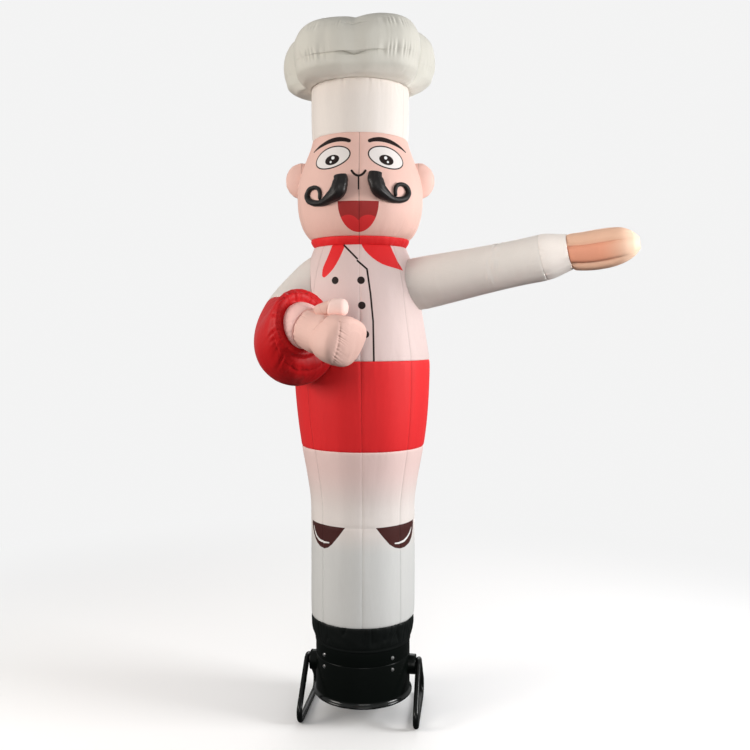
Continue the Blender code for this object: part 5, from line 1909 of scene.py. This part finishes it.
class AIRDANCER_OT_side_frames(bpy.types.Operator):
    """Makes the two bent-tube side frames that carry the drum"""

    bl_idname = "airdancer.side_frames"
    bl_label = "Side frames"

    def execute(self, context):
        paint = glossy_material("frame_finish", "paint", 0.2, 0.0008, shine=0.22)
        floor = TUBE_RADIUS
        top = FRAME_TOP - TUBE_SOLID_RADIUS
        rise = math.atan2(top - floor, FRAME_HALF_LENGTH)
        peak = top + FRAME_TOP_BEND * (1 / math.cos(rise) - 1)
        for side, node in ((-1, "side_frame_left"), (1, "side_frame_right")):
            x = side * FRAME_HALF_WIDTH
            corners = [
                (Vector((x, -FRAME_HALF_LENGTH, floor)), FRAME_FOOT_BEND),
                (Vector((x, 0.0, peak)), FRAME_TOP_BEND),
                (Vector((x, FRAME_HALF_LENGTH, floor)), FRAME_FOOT_BEND),
            ]
            route = []
            for k, (corner, bend) in enumerate(corners):
                route += rounded_corner(corners[k - 1][0], corner, corners[(k + 1) % 3][0], bend, 17)
            shape = self.tube(route)
            turn_to_blower(shape)
            finished(f"{node}_tube", shape, paint, "black_paint", node)
        return {"FINISHED"}

    def tube(self, route):
        """A closed ring of round tube along the route."""
        count = len(route)
        aside = Vector((1.0, 0.0, 0.0))

        def place(angle, row):
            k = row[0] % count
            run = (route[(k + 1) % count] - route[k - 1]).normalized()
            out = aside.cross(run)
            return route[k] + (aside * math.cos(angle) + out * math.sin(angle)) * TUBE_RADIUS

        return skin(TUBE_STEPS, [(k,) for k in range(count + 1)], place, lambda row: TUBE_RADIUS)


# ---------------------------------------------------------------- stage


def floor_material(name, look):
    """A plain pale floor, bright under the object and even with the backdrop further off. It gives no
    light of its own to the object."""
    material = bpy.data.materials.new(name)
    material.use_nodes = True
    tree = material.node_tree
    tree.nodes.clear()
    x, y, _ = parted(object_vector(tree))
    colours = {"Color": (*look.floor, 1.0)}
    blend = {
        0: ramped(hypotenuse(x - AXIS.x, y - AXIS.y), *FLOOR_LIT),
        1: made(tree, "BsdfDiffuse", colours),
        2: made(tree, "Emission", colours),
    }
    out = tree.nodes.new("ShaderNodeOutputMaterial")
    feed(out.inputs["Surface"], made(tree, "MixShader", blend))
    return material


def sky_world(name, look):
    """Even light from all round, weaker from below. The camera sees the backdrop's own colour."""
    world = bpy.data.worlds.new(name)
    world.use_nodes = True
    tree = world.node_tree
    _, _, up = parted(made(tree, "TexCoord", output="Generated"))
    light = ramped(up, 0.0, 0.9, look.side_sky, look.sky) * ramped(up, -0.35, 0.0, 0.16, 1.0)
    seen = made(tree, "LightPath", output="Is Camera Ray")
    background = tree.nodes["Background"]
    background.inputs["Color"].default_value = (*look.floor, 1.0)
    feed(background.inputs["Strength"], made(tree, "Mix", {0: seen, 2: light, 3: 1.0}, data_type="FLOAT"))
    return world


def soft_light(name, place, target, size, power, colour=(1.0, 1.0, 1.0)):
    light = bpy.data.lights.new(name, "AREA")
    light.shape = "SQUARE"
    light.size = size
    light.energy = power
    light.color = colour
    lamp = linked(name, light)
    lamp.location = place
    lamp.rotation_euler = (target - place).to_track_quat("-Z", "Y").to_euler()
    return light


class AIRDANCER_OT_stage(bpy.types.Operator):
    """Makes the floor with its curved backdrop, the soft lights and the camera"""

    bl_idname = "airdancer.stage"
    bl_label = "Stage"

    def execute(self, context):
        scene, look = context.scene, context.scene.air_dancer_stage
        profile = [(0.0, 0.0), (2.0, 0.0), (FLOOR_FLAT * 0.6, 0.0), (FLOOR_FLAT, 0.0)]
        profile += [
            (FLOOR_FLAT + FLOOR_BEND * math.sin(turn), FLOOR_BEND - FLOOR_BEND * math.cos(turn))
            for turn in spread(0.1, math.pi / 2, 10)
        ]
        profile.append((FLOOR_FLAT + FLOOR_BEND, FLOOR_TOP))
        shape = turned_profile(profile, FLOOR_STEPS)
        bmesh.ops.recalc_face_normals(shape, faces=shape.faces)
        bmesh.ops.reverse_faces(shape, faces=shape.faces)
        floor = linked("floor", mesh_of("floor", shape, floor_material("floor_finish", look)))
        floor.visible_diffuse = floor.visible_glossy = floor.visible_shadow = False
        scene.world = sky_world("sky", look)

        for name, degrees, away, height, size, share, colour in SOFT_LIGHTS:
            place = AXIS + at_trunk(math.radians(degrees), away, height)
            soft_light(name, place, AXIS + UP * LIGHTS_TARGET, size, look.key * share, colour)
        place, target, size, share, spread_of = HAND_LIGHT
        lamp = soft_light("hand", AXIS + Vector(place), AXIS + Vector(target), size, look.key * share)
        lamp.spread = math.radians(spread_of)

        camera = bpy.data.cameras.new("camera")
        camera.lens = look.lens
        camera.sensor_width = 36.0
        camera.shift_y = look.shift
        camera.clip_end = 60.0
        holder = linked("camera", camera)
        holder.location = (AXIS.x + look.aside, AXIS.y - look.distance, look.eye_height)
        holder.rotation_euler = (math.pi / 2, 0.0, 0.0)
        scene.camera = holder
        scene.view_settings.view_transform = "Standard"
        return {"FINISHED"}


OPERATORS = (
    AIRDANCER_OT_stage,
    AIRDANCER_OT_trunk,
    AIRDANCER_OT_head,
    AIRDANCER_OT_moustache,
    AIRDANCER_OT_hat,
    AIRDANCER_OT_straight_arm,
    AIRDANCER_OT_bent_arm,
    AIRDANCER_OT_boot_cuff,
    AIRDANCER_OT_drum,
    AIRDANCER_OT_side_frames,
)
SETTINGS = {
    "air_dancer_cloth": AirDancerCloth,
    "air_dancer_blower": AirDancerBlower,
    "air_dancer_stage": AirDancerStage,
}


class AIRDANCER_PT_panel(bpy.types.Panel):
    """Lists the pieces of the air dancer"""

    bl_idname = "AIRDANCER_PT_panel"
    bl_label = "Air dancer"
    bl_space_type = "VIEW_3D"
    bl_region_type = "UI"
    bl_category = "Air dancer"

    def draw(self, context):
        layout = self.layout
        for operator in OPERATORS:
            layout.operator(operator.bl_idname)
        for group_name in SETTINGS:
            settings = getattr(context.scene, group_name)
            box = layout.box()
            for name in settings.__annotations__:
                box.prop(settings, name)


CLASSES = (*SETTINGS.values(), *OPERATORS, AIRDANCER_PT_panel)


def register():
    for kind in CLASSES:
        bpy.utils.register_class(kind)
    for group_name, kind in SETTINGS.items():
        setattr(bpy.types.Scene, group_name, PointerProperty(type=kind))


def unregister():
    for group_name in SETTINGS:
        delattr(bpy.types.Scene, group_name)
    for kind in reversed(CLASSES):
        bpy.utils.unregister_class(kind)


def main():
    register()
    for operator in OPERATORS:
        family, name = operator.bl_idname.split(".")
        getattr(getattr(bpy.ops, family), name)()


if __name__ == "__main__":
    main()
